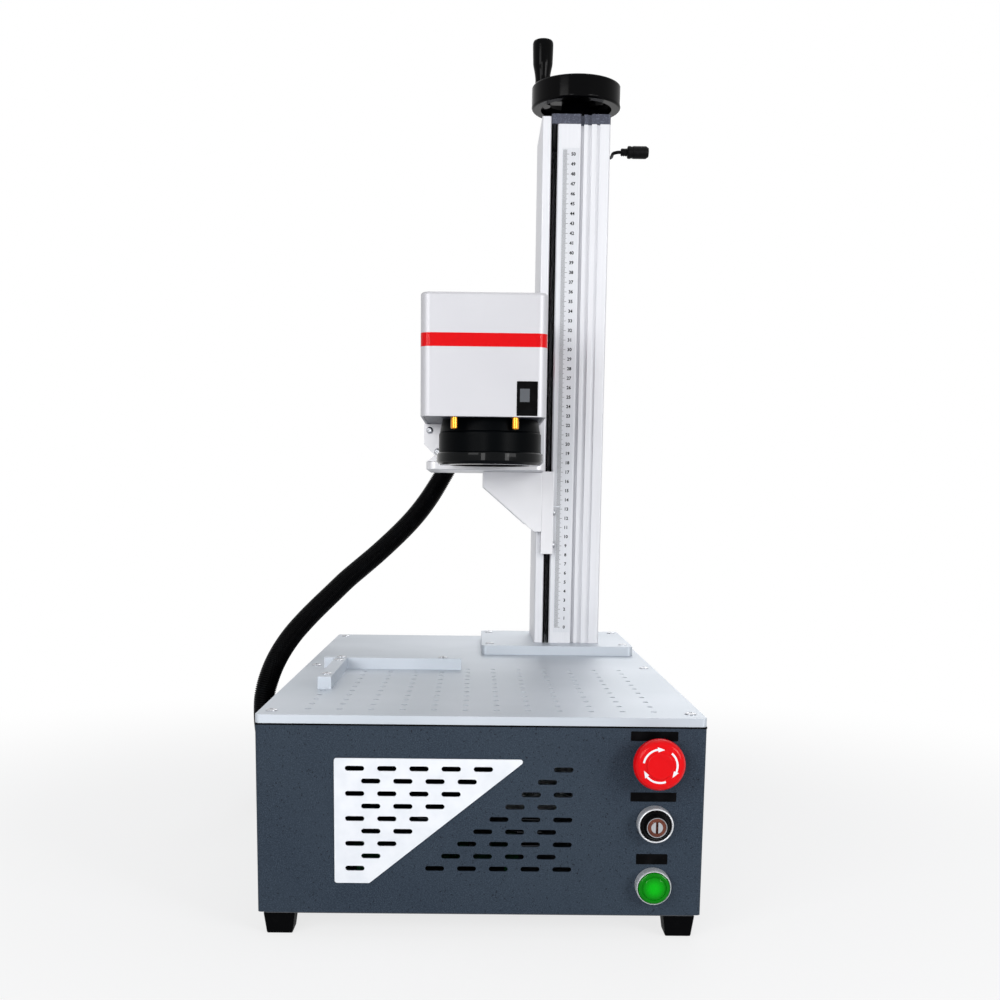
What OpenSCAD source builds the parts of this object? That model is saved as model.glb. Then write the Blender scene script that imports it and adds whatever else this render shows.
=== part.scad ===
// Laser marking machine: a cabinet base with a drilled work plate, a hand-cranked lift
// column and a marking head. Millimetres, +Z up, origin on the floor under the middle.

/* [Cabinet] */
// Width of the cabinet and of its work plate
cabinet_w = 350; // [340:1:370]
// Depth of the cabinet and of its work plate
cabinet_d = 600; // [590:1:620]
// Height of the painted cabinet without feet and work plate
cabinet_h = 150; // [148:1:165]
// Thickness of the cabinet's sheet steel
sheet_t = 1.5; // [1.2:0.1:2]
// Outside radius of the cabinet's folded front corners
cabinet_r = 3; // [2.5:0.5:5]
// Thickness of the tray that closes the cabinet below
tray_t = 2; // [1.5:0.1:3]
// How far the tray stands in from the cabinet's sides
tray_inset = 4; // [2:0.5:8]
// Height of the feet
foot_h = 18; // [14:1:24]
// Width of a foot at its top
foot_top = 25; // [22:1:28]
// Width of a foot on the floor
foot_bottom = 20.5; // [16:0.5:22]

/* [Vents] */
// Length of a vent slot
slot_l = 15; // [12:0.5:17]
// Height of a vent slot
slot_h = 4; // [3:0.5:5]
// Distance between neighbouring slots in a row
slot_pitch = 25; // [22:0.5:26]
// Distance between rows of slots
slot_row_pitch = 10; // [8:0.5:11]
// Rows of slots on the front
slot_rows = 9; // [3:2:9]
// Thickness of the white vent plate
vent_plate_t = 1; // [0.8:0.1:1.5]

/* [Work plate] */
// Thickness of the work plate
deck_t = 8; // [6:0.5:12]
// Corner radius of the work plate
deck_r = 4; // [2:0.5:6]
// Distance between the fixture holes
grid_pitch = 25; // [20:1:25]
// Fixture holes across the plate
grid_cols = 12; // [4:1:12]
// Fixture holes from front to back
grid_rows = 11; // [10:1:11]
// Diameter of a fixture hole, the core of an M6 thread
grid_hole_d = 5; // [4:0.1:5]
// Distance from the plate's front edge to the first row of holes
grid_front = 30; // [20:1:32]
// Width of the square stop bars
stop_w = 12; // [10:0.5:14]
// Height of the stop bars
stop_h = 11; // [8:0.5:14]
// Length of the cross stop bar
stop_cross_l = 135; // [120:1:150]
// Length of the side stop bar
stop_side_l = 138; // [130:1:150]

/* [Controls] */
// Diameter of the emergency stop button
estop_d = 40; // [36:1:42]
// How far the emergency stop stands out of the front
estop_reach = 24; // [22:1:34]
// Travel of the emergency stop button
estop_travel = 4; // [3:0.5:4.5]
// Diameter of the key switch's bezel
key_bezel_d = 28; // [27:1:31]
// Diameter of the lock barrel
key_barrel_d = 16; // [12:1:18]
// Diameter of the lamp button's bezel
lamp_bezel_d = 28; // [28:1:31]
// Diameter of the lamp button's lens
lamp_lens_d = 25; // [22:0.5:25.5]
// Travel of the lamp button
lamp_travel = 3; // [2:0.5:3]

/* [Column] */
// Width of the column's main extrusion, without the cover
column_w = 55.5; // [54:0.5:60]
// Depth of the column
column_d = 115; // [112:1:120]
// Height of the main extrusion
column_h = 548; // [520:1:600]
// Wall of the extrusion
column_wall = 10; // [9:0.5:11]
// Thickness of the column's cover bar
cover_t = 10; // [8:0.5:11]
// Gap between the cover and the extrusion, where the carriage comes out
column_gap = 6.5; // [6:0.1:7.5]
// Thickness of the column's end cap
cap_t = 10; // [9.5:0.5:14]
// Width of the square foot flange
flange_w = 165; // [160:1:170]
// Thickness of the foot flange
flange_t = 10; // [8:0.5:14]
// Distance from the work plate's rear edge to the column's back face
column_setback = 49; // [46:1:55]

/* [Lift] */
// Diameter of the lift screw
screw_d = 16; // [14:0.5:18]
// Diameter of the guide rods
rod_d = 12; // [10:0.5:13]
// Diameter of the handwheel
wheel_d = 97; // [90:1:110]
// Height of the handwheel's rim
wheel_h = 23.5; // [18:0.5:26]
// Diameter of the crank grip at its top
grip_d = 22.5; // [19:0.5:24]
// Length of the crank grip
grip_l = 46; // [40:1:60]
// Height of the lens above the work plate, as the lift stands
lens_gap = 199.5; // [195:0.5:205]

/* [Head] */
// Width of the marking head
head_w = 117.5; // [112:0.5:118]
// Length of the marking head from front to back
head_l = 242; // [236:1:250]
// Height of the marking head's housing
head_h = 112; // [105:1:120]
// Corner radius of the head's housing
head_r = 9; // [5:0.5:11]
// Wall of the head's housing
head_wall = 2.5; // [2:0.1:3]
// Diameter of the lens barrel's widest ring
lens_d = 104; // [100:1:106]
// Height of the lens below the head
lens_h = 43; // [42:0.5:46]
// Thickness of the shelf that carries the head
shelf_t = 8; // [6:0.5:9]
// Thickness of the bracket's upright plates
bracket_t = 8; // [6:0.5:9]

/* [Hidden] */

$fn = 64;
// Overrun of a cut past the face it leaves
cut = 0.5;
// Radial clearance of a running fit
run = 0.05;
// Clearance of a piece that drops into its seat
seat = 0.2;

// Levels and faces of the cabinet
rear_reach = 3;
front_y = (estop_reach - rear_reach - cabinet_d) / 2;
back_y = front_y + cabinet_d;
wrap_z = foot_h + tray_t;
wrap_top = wrap_z + cabinet_h;
deck_z = wrap_top + deck_t;
return_w = 14;
tray_rim_h = 9;
foot_inset_x = 3.5;
foot_inset_y = 5;
// Screws that hold the work plate
deck_screw_inset = 10;
deck_screw_front = 20;
deck_screw_pitch = (cabinet_d - 2 * deck_screw_front) / 2;
screw_shank = 5;
screw_head_d = 9.5;
screw_head_h = 1.4;
screw_hole = 5.6;
screw_hex = 3.2;
deck_screw_bite = 6;
deck_screw_l = deck_t + deck_screw_bite;
// Vents: the first slot of the white side and the last one of the dark side
slot_drop = 33.5;
slot_left_in = 77;
slot_right_in = 110.5;
slot_top_z = wrap_top - slot_drop;
slot_left_x = slot_left_in - cabinet_w / 2;
slot_right_x = cabinet_w / 2 - slot_right_in;
vent_top = 8;
vent_bottom = 12;
vent_left = 16;
vent_right = 21;
vent_foot_w = 24.5;
vent_r = 2;
// Controls: one column of three devices through holes of one size
control_in = 38.8;
control_drops = [for (k = [0 : 2]) (k + 0.5) * cabinet_h / 3];
control_x = cabinet_w / 2 - control_in;
control_z = [for (drop = control_drops) wrap_top - drop];
control_hole_d = 22.3;
neck_d = 21.8;
neck_l = 26;
nut_d = 30;
nut_t = 4;
nut_seat = 0.1;
block_w = 28;
block_h = 30;
block_l = 32;
estop_flange_d = 29.5;
estop_flange_t = 3;
estop_sleeve_d = 25;
estop_sleeve_h = 5;
estop_stem_d = 14.1;
estop_pin_d = 10;
estop_pin_h = 7;
estop_gap = 0.5;
estop_room = 2;
estop_under = estop_sleeve_h + estop_travel + estop_gap;
estop_disc_d = 21;
estop_disc_h = 1.2;
key_bezel_h = 10.5;
key_recess_d = 24.5;
key_face_h = 15.5;
key_ring_drop = 1.2;
key_nose_d = 17.5;
key_nose_h = 15;
key_slot_w = 2.4;
key_slot_l = 9;
key_slot_depth = 5;
key_tail = 18;
lamp_bezel_h = 10;
lamp_floor = 2;
lamp_cap_h = 12;
lamp_rim_h = 10;
lamp_stem_d = 12;
lamp_tail = 15;
// Column in plan: its left face, the slot for the carriage and the screw's axis
column_left = 59.5;
gap_x = column_left + cover_t;
body_x = gap_x + column_gap;
body_right = body_x + column_w;
column_back = back_y - column_setback;
column_front = column_back - column_d;
column_y = column_front + column_d / 2;
screw_x = body_x + (column_w - column_wall) / 2;
column_z = deck_z + flange_t;
column_top = column_z + column_h;
column_bevel = 1.5;
cover_rise = 7.5;
flange_over_x = 35;
flange_over_y = 33;
flange_x = body_right + flange_over_x - flange_w;
flange_y = column_front - flange_over_y;
flange_r = 6;
flange_screw_x = 9;
flange_screw_y = 20;
// Grooves in the extrusion's front face, as distances from its right edge
groove_wide = 11.5;
groove_wide_in = 31.2;
groove_step = 2;
groove_deep = 7;
groove_deep_w = 3.5;
groove_low = 4;
groove_low_w = 4;
groove_narrow = 3.5;
groove_narrow_in = 14.5;
groove_narrow_depth = 2.5;
seal_w = 1.7;
seal_t = 2;
seal_in = 1;
ruler_in = 5;
ruler_low = 12;
ruler_x = body_x + ruler_in;
ruler_w = 18;
ruler_t = 0.4;
ruler_z = column_z + ruler_low;
ruler_l = 512;
rod_spread = 34;
// Lift screw and its bearings
bearing_d = 30;
bearing_h = 8;
journal_low_d = 10;
journal_top_d = 12;
collar_d = 20;
collar_t = 5;
bearing_gap = 0.3;
cap_boss_d = 38;
cap_boss_h = 6;
cap_bore_d = 16;
// Handwheel and crank
hub_gap = 0.5;
hub_d = 32;
hub_foot = 13.6;
wheel_z = column_top + cap_t + cap_boss_h + hub_gap + hub_foot;
rim_w = 10;
rim_round = 2.5;
web_t = 7;
web_rise = 7;
spokes = 3;
spoke_w = 14;
crank_in = 11.5;
crank_r = wheel_d / 2 - crank_in;
crank_boss_d = 18;
boss_rise = 1;
spindle_d = 8;
grip_neck_d = 16;
grip_gap = 0.5;
grip_wall = 4;
// Carriage
core_gap = 2.5;
core_h = 76;
arm_t = 2.4;
arm_reach = 2;
nut_outer_d = 28;
nut_flange_d = 40;
nut_flange_t = 5;
ear_w = 13;
ear_t = 12;
ear_h = 89;
ear_over = 4.5;
ear_left = gap_x - ear_over;
saddle_t = 8;
saddle_flange_t = 6;
saddle_gap = 2.5;
saddle_h = 56;
riser_h = 37.5;
ear_bite = 1;
core_drop = 6;
shelf_reach = 82;
shelf_top = deck_z + lens_gap + lens_h - riser_h;
shelf_z = shelf_top - shelf_t;
ear_top = shelf_z + ear_bite;
core_z = ear_top - core_drop - core_h;
shelf_left = -58;
shelf_front = column_front - shelf_reach;
shelf_l = 136;
shelf_r = 10;
shelf_right = column_left - saddle_gap;
gusset_left = 1;
gusset_side_h = 16;
gusset_h = 64;
gusset_foot = 8;
// Marking head
head_reach = 200;
head_front = column_front - head_reach;
head_z = shelf_top + riser_h;
head_back = head_front + head_l;
head_top_t = 3;
base_t = 8;
riser_top_w = 120;
riser_back_w = head_w;
riser_side_h = 20;
riser_waist_w = 98;
riser_waist_h = 6;
riser_foot_w = 114;
riser_screw = [[54.3, 31.3], [46, 9.8]];
riser_screw_d = 4;
riser_screw_head_d = 7;
riser_screw_head_h = 3;
ear_screw_drop = [44, 79];
pointer_drop = 37.5;
pointer_l = 7.5;
pointer_t = 1.6;
// Lens below the head
lens_x = 7;
lens_in = 56;
lens_y = head_front + lens_in;
neck_outer_d = 93;
neck_low_d = 98;
neck_h = 12.4;
barrel_d = 99.5;
barrel_h = 19;
lens_bore_d = 80;
neck_bore_d = 76;
lens_bevel = 1;
lens_thread_d = 85;
ring_h = 2;
glass_t = 5;
glass_rise = 4;
lamp_spots = [-27, 30];
lamp_spot_in = 7;
lamp_spot_y = head_front + lamp_spot_in;
lamp_spot_d = 6.8;
lamp_spot_h = 11;
// Beam path inside the head
beam_h = 30;
mirror_gap = 32;
galvo_d = 24;
galvo_l = 36;
galvo_shaft_d = 3;
mirror_w = 14;
mirror_t = 2;
block_t = 10;
collimator_d = 26;
collimator_room = 50;
// Hose and its fittings
hose_d = 23;
hose_bore = 18;
hose_ribs = 165;
rib_depth = 1.6;
gland_x = -12;
gland_z = 446;
gland_end = 213;
gland_l = gland_end - head_back;
gland_d = 27;
gland_nut_d = 31;
gland_nut_t = 9;
gland_bore = 14;
gland_neck_d = 19;
elbow_x = -226;
elbow_y = 261;
elbow_z = 36;
elbow_r = 15;
elbow_d = 23;
elbow_bore = 15;
elbow_neck_d = 20;
elbow_nut_t = 7;
elbow_nut_d = 30;
elbow_collar_d = 26;
elbow_collar_l = 8;
hose_route = [[-12, 213, 446], [-12, 223, 446], [-12, 233, 446], [-15, 257, 440], [-21, 278, 428],
    [-29, 293, 410], [-39, 302, 389], [-51, 304, 367], [-64, 300, 346], [-78, 292, 327],
    [-93, 281, 310], [-109, 270, 294], [-125, 258, 279], [-141, 245, 265], [-157, 232, 251],
    [-172, 218, 236], [-187, 204, 221], [-201, 189, 206], [-214, 174, 190], [-225, 159, 172],
    [-233, 146, 153], [-239, 138, 130], [-241, 140, 106], [-241, 149, 83], [-239, 164, 63.5],
    [-235, 184, 48.5], [-230, 207, 39], [-227, 231, 36], [-226, 241, 36], [-226, 251, 36],
    [-226, 261, 36]];
// Limit lead at the column's top right
lead_d = 3.5;
lead_in = 40.5;
lead_rise = 541;
lead_y = column_front + lead_in;
lead_z = deck_z + lead_rise;
plug_x = 147;
lead_route = [[131.5, 211, 719], [134.5, 211, 719], [137, 210, 719], [138.5, 208, 719], [139, 205, 719],
    [139, 200, 719], [139, 195, 719], [139.5, 192, 719], [141, 189.5, 719], [143.5, 187.5, 719],
    [145.5, 187, 719], [147, 187, 719]];
plug_boot_l = 7;
plug_boot_d = 8.5;
plug_l = 20;
plug_d = 13;
plug_bevel = 3;
plug_step = 1;

// Shared shapes
module rounded_rect(w, d, r) {
    square([w - 2 * r, d], center = true);
    square([w, d - 2 * r], center = true);
    for (x = [-1, 1], y = [-1, 1])
        translate([x * (w / 2 - r), y * (d / 2 - r)]) circle(r);
}
// Rounds a polygon drawn counter-clockwise through the centres of its corner circles
function edge_out(a, b) = let (d = (b - a) / norm(b - a)) [d.y, -d.x];
module rounded_polygon(centres, r) {
    n = len(centres);
    polygon([for (i = [0 : n - 1]) let (a = centres[i], b = centres[(i + 1) % n])
        for (c = [a, b]) c + r * edge_out(a, b)]);
    for (c = centres) translate(c) circle(r, $fn = 32);
}
module slot_2d(l, h) {
    square([l - h, h], center = true);
    for (x = [-1, 1]) translate([x * (l - h) / 2, 0]) circle(h / 2, $fn = 24);
}
// Turns local +Z to face the front, at a place on the cabinet's front face
module on_front(x, z) {
    translate([x, front_y, z]) rotate([90, 0, 0]) children();
}
// Extrudes a plan drawn in X and Z along +Y from a starting depth
module upright(y, t) {
    translate([0, y + t, 0]) rotate([90, 0, 0]) linear_extrude(t) children();
}
module ring_2d(outer, inner) {
    difference() {
        circle(d = outer);
        circle(d = inner);
    }
}
module tube(outer, inner, h) {
    linear_extrude(h) ring_2d(outer, inner);
}
// Button-head screw with its head above z = 0
module button_screw(d, l, head_d, head_h, hex) {
    difference() {
        union() {
            translate([0, 0, -l]) cylinder(d = d, h = l + head_h / 2, $fn = 32);
            rotate_extrude($fn = 48) polygon([[0, 0], [head_d / 2, 0],
                [head_d / 2, head_h * 0.35], [head_d * 0.36, head_h * 0.85],
                [head_d * 0.26, head_h], [0, head_h]]);
        }
        translate([0, 0, head_h / 2]) cylinder(d = hex, h = head_h, $fn = 6);
    }
}

// Cabinet
module wrap_plan(inset) {
    r = cabinet_r - inset;
    w = cabinet_w - 2 * inset;
    translate([-w / 2, front_y + cabinet_r]) square([w, cabinet_d - cabinet_r]);
    translate([-w / 2 + r, front_y + inset]) square([w - 2 * r, cabinet_d / 2]);
    for (s = [-1, 1]) translate([s * (w / 2 - r), front_y + cabinet_r]) circle(r);
}
module return_frame(z) {
    inset = sheet_t + return_w;
    translate([0, 0, z]) linear_extrude(sheet_t) difference() {
        intersection() {
            wrap_plan(sheet_t / 2);
            translate([-cabinet_w / 2, front_y])
                square([cabinet_w, cabinet_d - sheet_t - seat]);
        }
        translate([-cabinet_w / 2 + inset, front_y + inset])
            square([cabinet_w - 2 * inset, cabinet_d]);
    }
}
// Slots of both sides: the white side loses slots downwards, the dark side gains them
function white_count(row) = ceil((slot_rows - row) / 2);
function dark_count(row) = floor(row / 2) + 1;
function row_shift(row) = (row % 2) * slot_pitch / 2;
module white_slots(depth) {
    for (row = [0 : slot_rows - 1], k = [0 : white_count(row) - 1])
        on_front(slot_left_x + row_shift(row) + k * slot_pitch,
            slot_top_z - row * slot_row_pitch)
            translate([0, 0, -depth]) linear_extrude(2 * depth) slot_2d(slot_l, slot_h);
}
module dark_slots(depth) {
    for (row = [0 : slot_rows - 1], k = [0 : dark_count(row) - 1])
        on_front(slot_right_x - row_shift(row) - k * slot_pitch,
            slot_top_z - row * slot_row_pitch)
            translate([0, 0, -depth]) linear_extrude(2 * depth) slot_2d(slot_l, slot_h);
}
// Places of the work plate's screws, as [x, y]
function deck_screw_spots() = [for (s = [-1, 1], k = [0 : 2])
    [s * (cabinet_w / 2 - deck_screw_inset),
    front_y + deck_screw_front + k * deck_screw_pitch]];
module base_tray() {
    w = cabinet_w - 2 * tray_inset;
    d = cabinet_d - 2 * tray_inset;
    rim = sheet_t + return_w + seat;
    color("dimgray") difference() {
        union() {
            translate([0, (front_y + back_y) / 2, foot_h]) linear_extrude(tray_t)
                rounded_rect(w, d, cabinet_r);
            translate([0, (front_y + back_y) / 2, wrap_z]) linear_extrude(tray_rim_h)
                difference() {
                    square([cabinet_w - 2 * rim, cabinet_d - 2 * rim], center = true);
                    square([cabinet_w - 2 * rim - 2 * sheet_t,
                        cabinet_d - 2 * rim - 2 * sheet_t], center = true);
                }
        }
        for (x = [-1 : 1], y = [-2 : 2])
            translate([x * slot_pitch * 2, (front_y + back_y) / 2 + y * slot_pitch * 2, foot_h - cut])
                linear_extrude(tray_t + 2 * cut) slot_2d(slot_pitch, slot_h);
    }
}
module cabinet_wrap() {
    color([0.2, 0.24, 0.29]) difference() {
        union() {
            translate([0, 0, wrap_z]) linear_extrude(cabinet_h) difference() {
                wrap_plan(0);
                wrap_plan(sheet_t);
                translate([-cabinet_w / 2 + sheet_t, back_y - cabinet_d / 2])
                    square([cabinet_w - 2 * sheet_t, cabinet_d]);
            }
            return_frame(wrap_z);
            return_frame(wrap_top - sheet_t);
        }
        white_slots(2 * sheet_t);
        dark_slots(2 * sheet_t);
        for (z = control_z) on_front(control_x, z) translate([0, 0, -2 * sheet_t])
            cylinder(d = control_hole_d, h = 4 * sheet_t);
        translate([-cabinet_w / 2 - sheet_t, elbow_y + elbow_collar_l + elbow_r, elbow_z])
            rotate([0, 90, 0]) cylinder(d = elbow_neck_d + 2 * run, h = 4 * sheet_t);
        for (p = deck_screw_spots()) translate([p.x, p.y, wrap_top - 2 * sheet_t])
            cylinder(d = screw_hole, h = 4 * sheet_t, $fn = 32);
    }
}
// Rear panel with the fan's slots and the opening of the power inlet
fan_in = 80;
fan_x = fan_in - cabinet_w / 2;
fan_z = wrap_z + cabinet_h / 2;
fan_w = 80;
fan_t = 25;
inlet_in = 60;
inlet_rise = 45;
inlet_x = cabinet_w / 2 - inlet_in;
inlet_z = wrap_z + inlet_rise;
rear_slot_pitch = 22;
rear_slot_l = 17;
inlet_w = 28;
inlet_h = 47;
module rear_panel() {
    w = cabinet_w - 2 * sheet_t - 2 * seat;
    color([0.2, 0.24, 0.29]) difference() {
        upright(back_y - sheet_t, sheet_t) translate([-w / 2, wrap_z])
            square([w, cabinet_h]);
        for (row = [-3 : 3], k = [-1 : 1])
            upright(back_y - 2 * sheet_t, 4 * sheet_t)
                translate([fan_x + k * rear_slot_pitch, fan_z + row * slot_row_pitch])
                    slot_2d(rear_slot_l, slot_h);
        upright(back_y - 2 * sheet_t, 4 * sheet_t) translate([inlet_x, inlet_z])
            square([inlet_w + seat, inlet_h + seat], center = true);
    }
}
module vent_plate() {
    top = slot_top_z + vent_top - vent_r;
    bottom = slot_top_z - (slot_rows - 1) * slot_row_pitch - vent_bottom + vent_r;
    left = slot_left_x - vent_left + vent_r;
    right = slot_left_x + (white_count(0) - 1) * slot_pitch + slot_l / 2 + vent_right;
    color("white") difference() {
        upright(front_y - vent_plate_t, vent_plate_t)
            rounded_polygon([[left, bottom], [left + vent_foot_w, bottom], [right, top],
                [left, top]], vent_r);
        white_slots(3 * vent_plate_t);
    }
}
module foot_wedge() {
    t = foot_top / 2;
    b = foot_bottom / 2;
    rotate([90, 0, 0]) linear_extrude(foot_top, center = true)
        polygon([[-b, 0], [b, 0], [t, foot_h], [-t, foot_h]]);
}
module feet() {
    color([0.05, 0.05, 0.05])
        for (sx = [-1, 1], y = [front_y + foot_inset_y + foot_top / 2,
            back_y - foot_inset_y - foot_top / 2])
            translate([sx * (cabinet_w / 2 - foot_inset_x - foot_top / 2), y, 0])
                intersection() {
                    foot_wedge();
                    rotate(90) foot_wedge();
                }
}

// Work plate and its stop bars
module deck_plate() {
    color("silver") translate([0, 0, wrap_top]) difference() {
        translate([0, (front_y + back_y) / 2, 0]) linear_extrude(deck_t)
            rounded_rect(cabinet_w, cabinet_d, deck_r);
        for (i = [0 : grid_cols - 1], j = [0 : grid_rows - 1])
            translate([(i - (grid_cols - 1) / 2) * grid_pitch,
                front_y + grid_front + j * grid_pitch, -cut])
                cylinder(d = grid_hole_d, h = deck_t + 2 * cut, $fn = 32);
        for (p = deck_screw_spots()) translate([p.x, p.y, -cut])
            cylinder(d = screw_hole, h = deck_t + 2 * cut, $fn = 32);
    }
}
stop_x = -(grid_cols - 1) / 2 * grid_pitch;
stop_y = front_y + grid_front + (grid_rows - 1) * grid_pitch;
stop_end = 16.5;
// Places of the stop bars' screws, each on a fixture hole
stop_spots = [[stop_x, stop_y], [stop_x + 4 * grid_pitch, stop_y],
    [stop_x, stop_y - grid_pitch], [stop_x, stop_y - 5 * grid_pitch]];
module stop_holes() {
    for (p = stop_spots) translate([p.x, p.y, deck_z - cut])
        cylinder(d = screw_hole, h = stop_h + 2 * cut, $fn = 32);
}
module stop_bar_cross() {
    color("silver") difference() {
        translate([stop_x - stop_end, stop_y - stop_w / 2, deck_z])
            cube([stop_cross_l, stop_w, stop_h]);
        stop_holes();
    }
}
module stop_bar_side() {
    color("silver") difference() {
        translate([stop_x - stop_w / 2, stop_y - stop_w / 2 - stop_side_l, deck_z])
            cube([stop_w, stop_side_l, stop_h]);
        stop_holes();
    }
}
// Screws of the work plate and, in its fixture holes, of the stop bars
module deck_screws() {
    color([0.3, 0.3, 0.3]) {
        for (p = deck_screw_spots()) translate([p.x, p.y, deck_z])
            button_screw(screw_shank, deck_screw_l, screw_head_d, screw_head_h, screw_hex);
        for (p = stop_spots) translate([p.x, p.y, deck_z + stop_h])
            button_screw(grid_hole_d - 2 * run, stop_h + deck_t / 2, screw_head_d,
                screw_head_h, screw_hex);
    }
}

// Emergency stop: fixed collar, plunger that is pushed, button that is twisted free
module estop_collar() {
    color([0.08, 0.08, 0.08]) on_front(control_x, control_z[0]) difference() {
        union() {
            translate([0, 0, -neck_l]) cylinder(d = neck_d, h = neck_l + cut);
            cylinder(d = estop_flange_d, h = estop_flange_t);
            cylinder(d = estop_sleeve_d, h = estop_sleeve_h);
        }
        translate([0, 0, -neck_l - cut])
            cylinder(d = estop_stem_d + 2 * run, h = neck_l + estop_sleeve_h + 2 * cut);
    }
}
module estop_plunger() {
    tail = neck_l - estop_travel - estop_room;
    color([0.15, 0.15, 0.15]) on_front(control_x, control_z[0]) {
        translate([0, 0, -tail]) cylinder(d = estop_stem_d, h = tail + estop_under - 2 * run);
        cylinder(d = estop_pin_d, h = estop_under + estop_pin_h);
    }
}
module estop_button() {
    r = estop_d / 2;
    h = estop_reach - estop_under - estop_disc_h;
    color([0.85, 0.08, 0.08]) on_front(control_x, control_z[0])
        translate([0, 0, estop_under]) difference() {
            union() {
                rotate_extrude($fn = 96) polygon([[0, 0], [r * 0.8, 0], [r * 0.93, h * 0.12],
                    [r, h * 0.35], [r, h * 0.62], [r * 0.97, h * 0.78], [r * 0.9, h * 0.92],
                    [r * 0.8, h], [0, h]]);
                cylinder(d = estop_disc_d, h = h + estop_disc_h);
            }
            translate([0, 0, -cut])
                cylinder(d = estop_pin_d + 2 * run, h = estop_pin_h + seat + cut);
        }
}
// Key switch: chrome bezel and the lock barrel that turns in it
module key_bezel() {
    r = key_bezel_d / 2;
    color("lightgray") on_front(control_x, control_z[1]) difference() {
        union() {
            translate([0, 0, -neck_l]) cylinder(d = neck_d, h = neck_l + cut);
            rotate_extrude() polygon([[0, 0], [r, 0], [r, key_bezel_h * 0.8],
                [r * 0.97, key_bezel_h], [key_recess_d / 2, key_bezel_h],
                [key_recess_d / 2, key_bezel_h - key_ring_drop], [key_nose_d / 2, key_nose_h],
                [0, key_nose_h]]);
        }
        translate([0, 0, -neck_l - cut])
            cylinder(d = key_barrel_d + 2 * run, h = neck_l + key_nose_h + 2 * cut);
    }
}
module key_barrel() {
    color([0.8, 0.5, 0.3]) on_front(control_x, control_z[1]) difference() {
        translate([0, 0, -key_tail]) cylinder(d = key_barrel_d, h = key_tail + key_face_h);
        translate([-key_slot_w / 2, -key_slot_l / 2, key_face_h - key_slot_depth])
            cube([key_slot_w, key_slot_l, key_slot_depth + cut]);
    }
}
// Lamp button: chrome bezel and the green lens that is pushed
module lamp_bezel() {
    r = lamp_bezel_d / 2;
    color("lightgray") on_front(control_x, control_z[2]) difference() {
        union() {
            translate([0, 0, -neck_l]) cylinder(d = neck_d, h = neck_l + cut);
            rotate_extrude() polygon([[0, 0], [r, 0], [r, lamp_bezel_h * 0.6],
                [r * 0.95, lamp_bezel_h], [0, lamp_bezel_h]]);
        }
        translate([0, 0, -neck_l - cut])
            cylinder(d = lamp_stem_d + 2 * run, h = neck_l + lamp_bezel_h);
        translate([0, 0, lamp_floor])
            cylinder(d = lamp_lens_d + 2 * run, h = lamp_bezel_h);
    }
}
module lamp_cap() {
    r = lamp_lens_d / 2;
    under = lamp_floor + lamp_travel + seat;
    color([0.1, 0.75, 0.2]) on_front(control_x, control_z[2]) {
        translate([0, 0, -lamp_tail]) cylinder(d = lamp_stem_d, h = lamp_tail + under + cut);
        rotate_extrude($fn = 96) polygon([[0, under], [r, under], [r, lamp_rim_h],
            [r * 0.92, lamp_cap_h * 0.88], [r * 0.72, lamp_cap_h * 0.96], [0, lamp_cap_h]]);
    }
}
module switch_backs() {
    color([0.12, 0.12, 0.14]) for (z = control_z) on_front(control_x, z) {
        translate([0, 0, -sheet_t - nut_seat - nut_t])
            tube(nut_d, neck_d + 2 * nut_seat, nut_t);
        translate([-block_w / 2, -block_h / 2, -neck_l - block_l])
            cube([block_w, block_h, block_l]);
    }
}

// Inside the cabinet
board_d = 105;
board_front = 110;
source_side = 23;
source_middle = 2;
source_back = 60;
source_room = 95;
source_h = 78;
source_w = cabinet_w / 2 - source_side - source_middle;
source_d = cabinet_d - source_back - source_room - board_front - board_d;
fins = 9;
module laser_source() {
    fin_t = source_w / (3 * fins);
    color([0.15, 0.16, 0.18]) translate([-source_w - source_middle, back_y - source_d - source_back, wrap_z]) {
        cube([source_w, source_d, source_h * 0.75]);
        for (k = [0 : fins - 1]) translate([fin_t + k * source_w / fins, fin_t, 0])
            cube([fin_t, source_d - 2 * fin_t, source_h]);
    }
}
supply_side = 42;
supply_middle = 18;
supply_back = 50;
supply_room = 120;
supply_h = 50;
supply_w = cabinet_w / 2 - supply_side - supply_middle;
supply_d = cabinet_d - supply_back - supply_room - board_front - board_d;
module power_supply() {
    color("lightgray") translate([supply_middle, back_y - supply_d - supply_back, wrap_z]) {
        difference() {
            cube([supply_w, supply_d, supply_h]);
            translate([supply_w * 0.06, -cut, supply_h * 0.35])
                cube([supply_w * 0.88, supply_d * 0.09, supply_h]);
        }
        for (k = [0 : 6]) translate([supply_w * (0.1 + k * 0.12), supply_d * 0.02,
            supply_h * 0.35]) cube([supply_w * 0.08, supply_d * 0.05, supply_h * 0.2]);
    }
}
board_w = 150;
board_t = 1.6;
board_rise = 8;
board_left = -115;
module control_board() {
    color([0.05, 0.35, 0.15]) translate([board_left, front_y + board_front, wrap_z]) {
        for (x = [0.06, 0.94], y = [0.08, 0.92]) translate([x * board_w, y * board_d, 0])
            cylinder(d = board_rise, h = board_rise + board_t / 2, $fn = 24);
        translate([0, 0, board_rise]) cube([board_w, board_d, board_t]);
        for (x = [0.2, 0.45, 0.7]) translate([x * board_w, board_d * 0.3, board_rise])
            cube([board_w * 0.14, board_d * 0.35, board_t + board_rise]);
        translate([board_w * 0.1, board_d * 0.85, board_rise])
            cube([board_w * 0.8, board_d * 0.1, board_t + board_rise]);
    }
}
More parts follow.
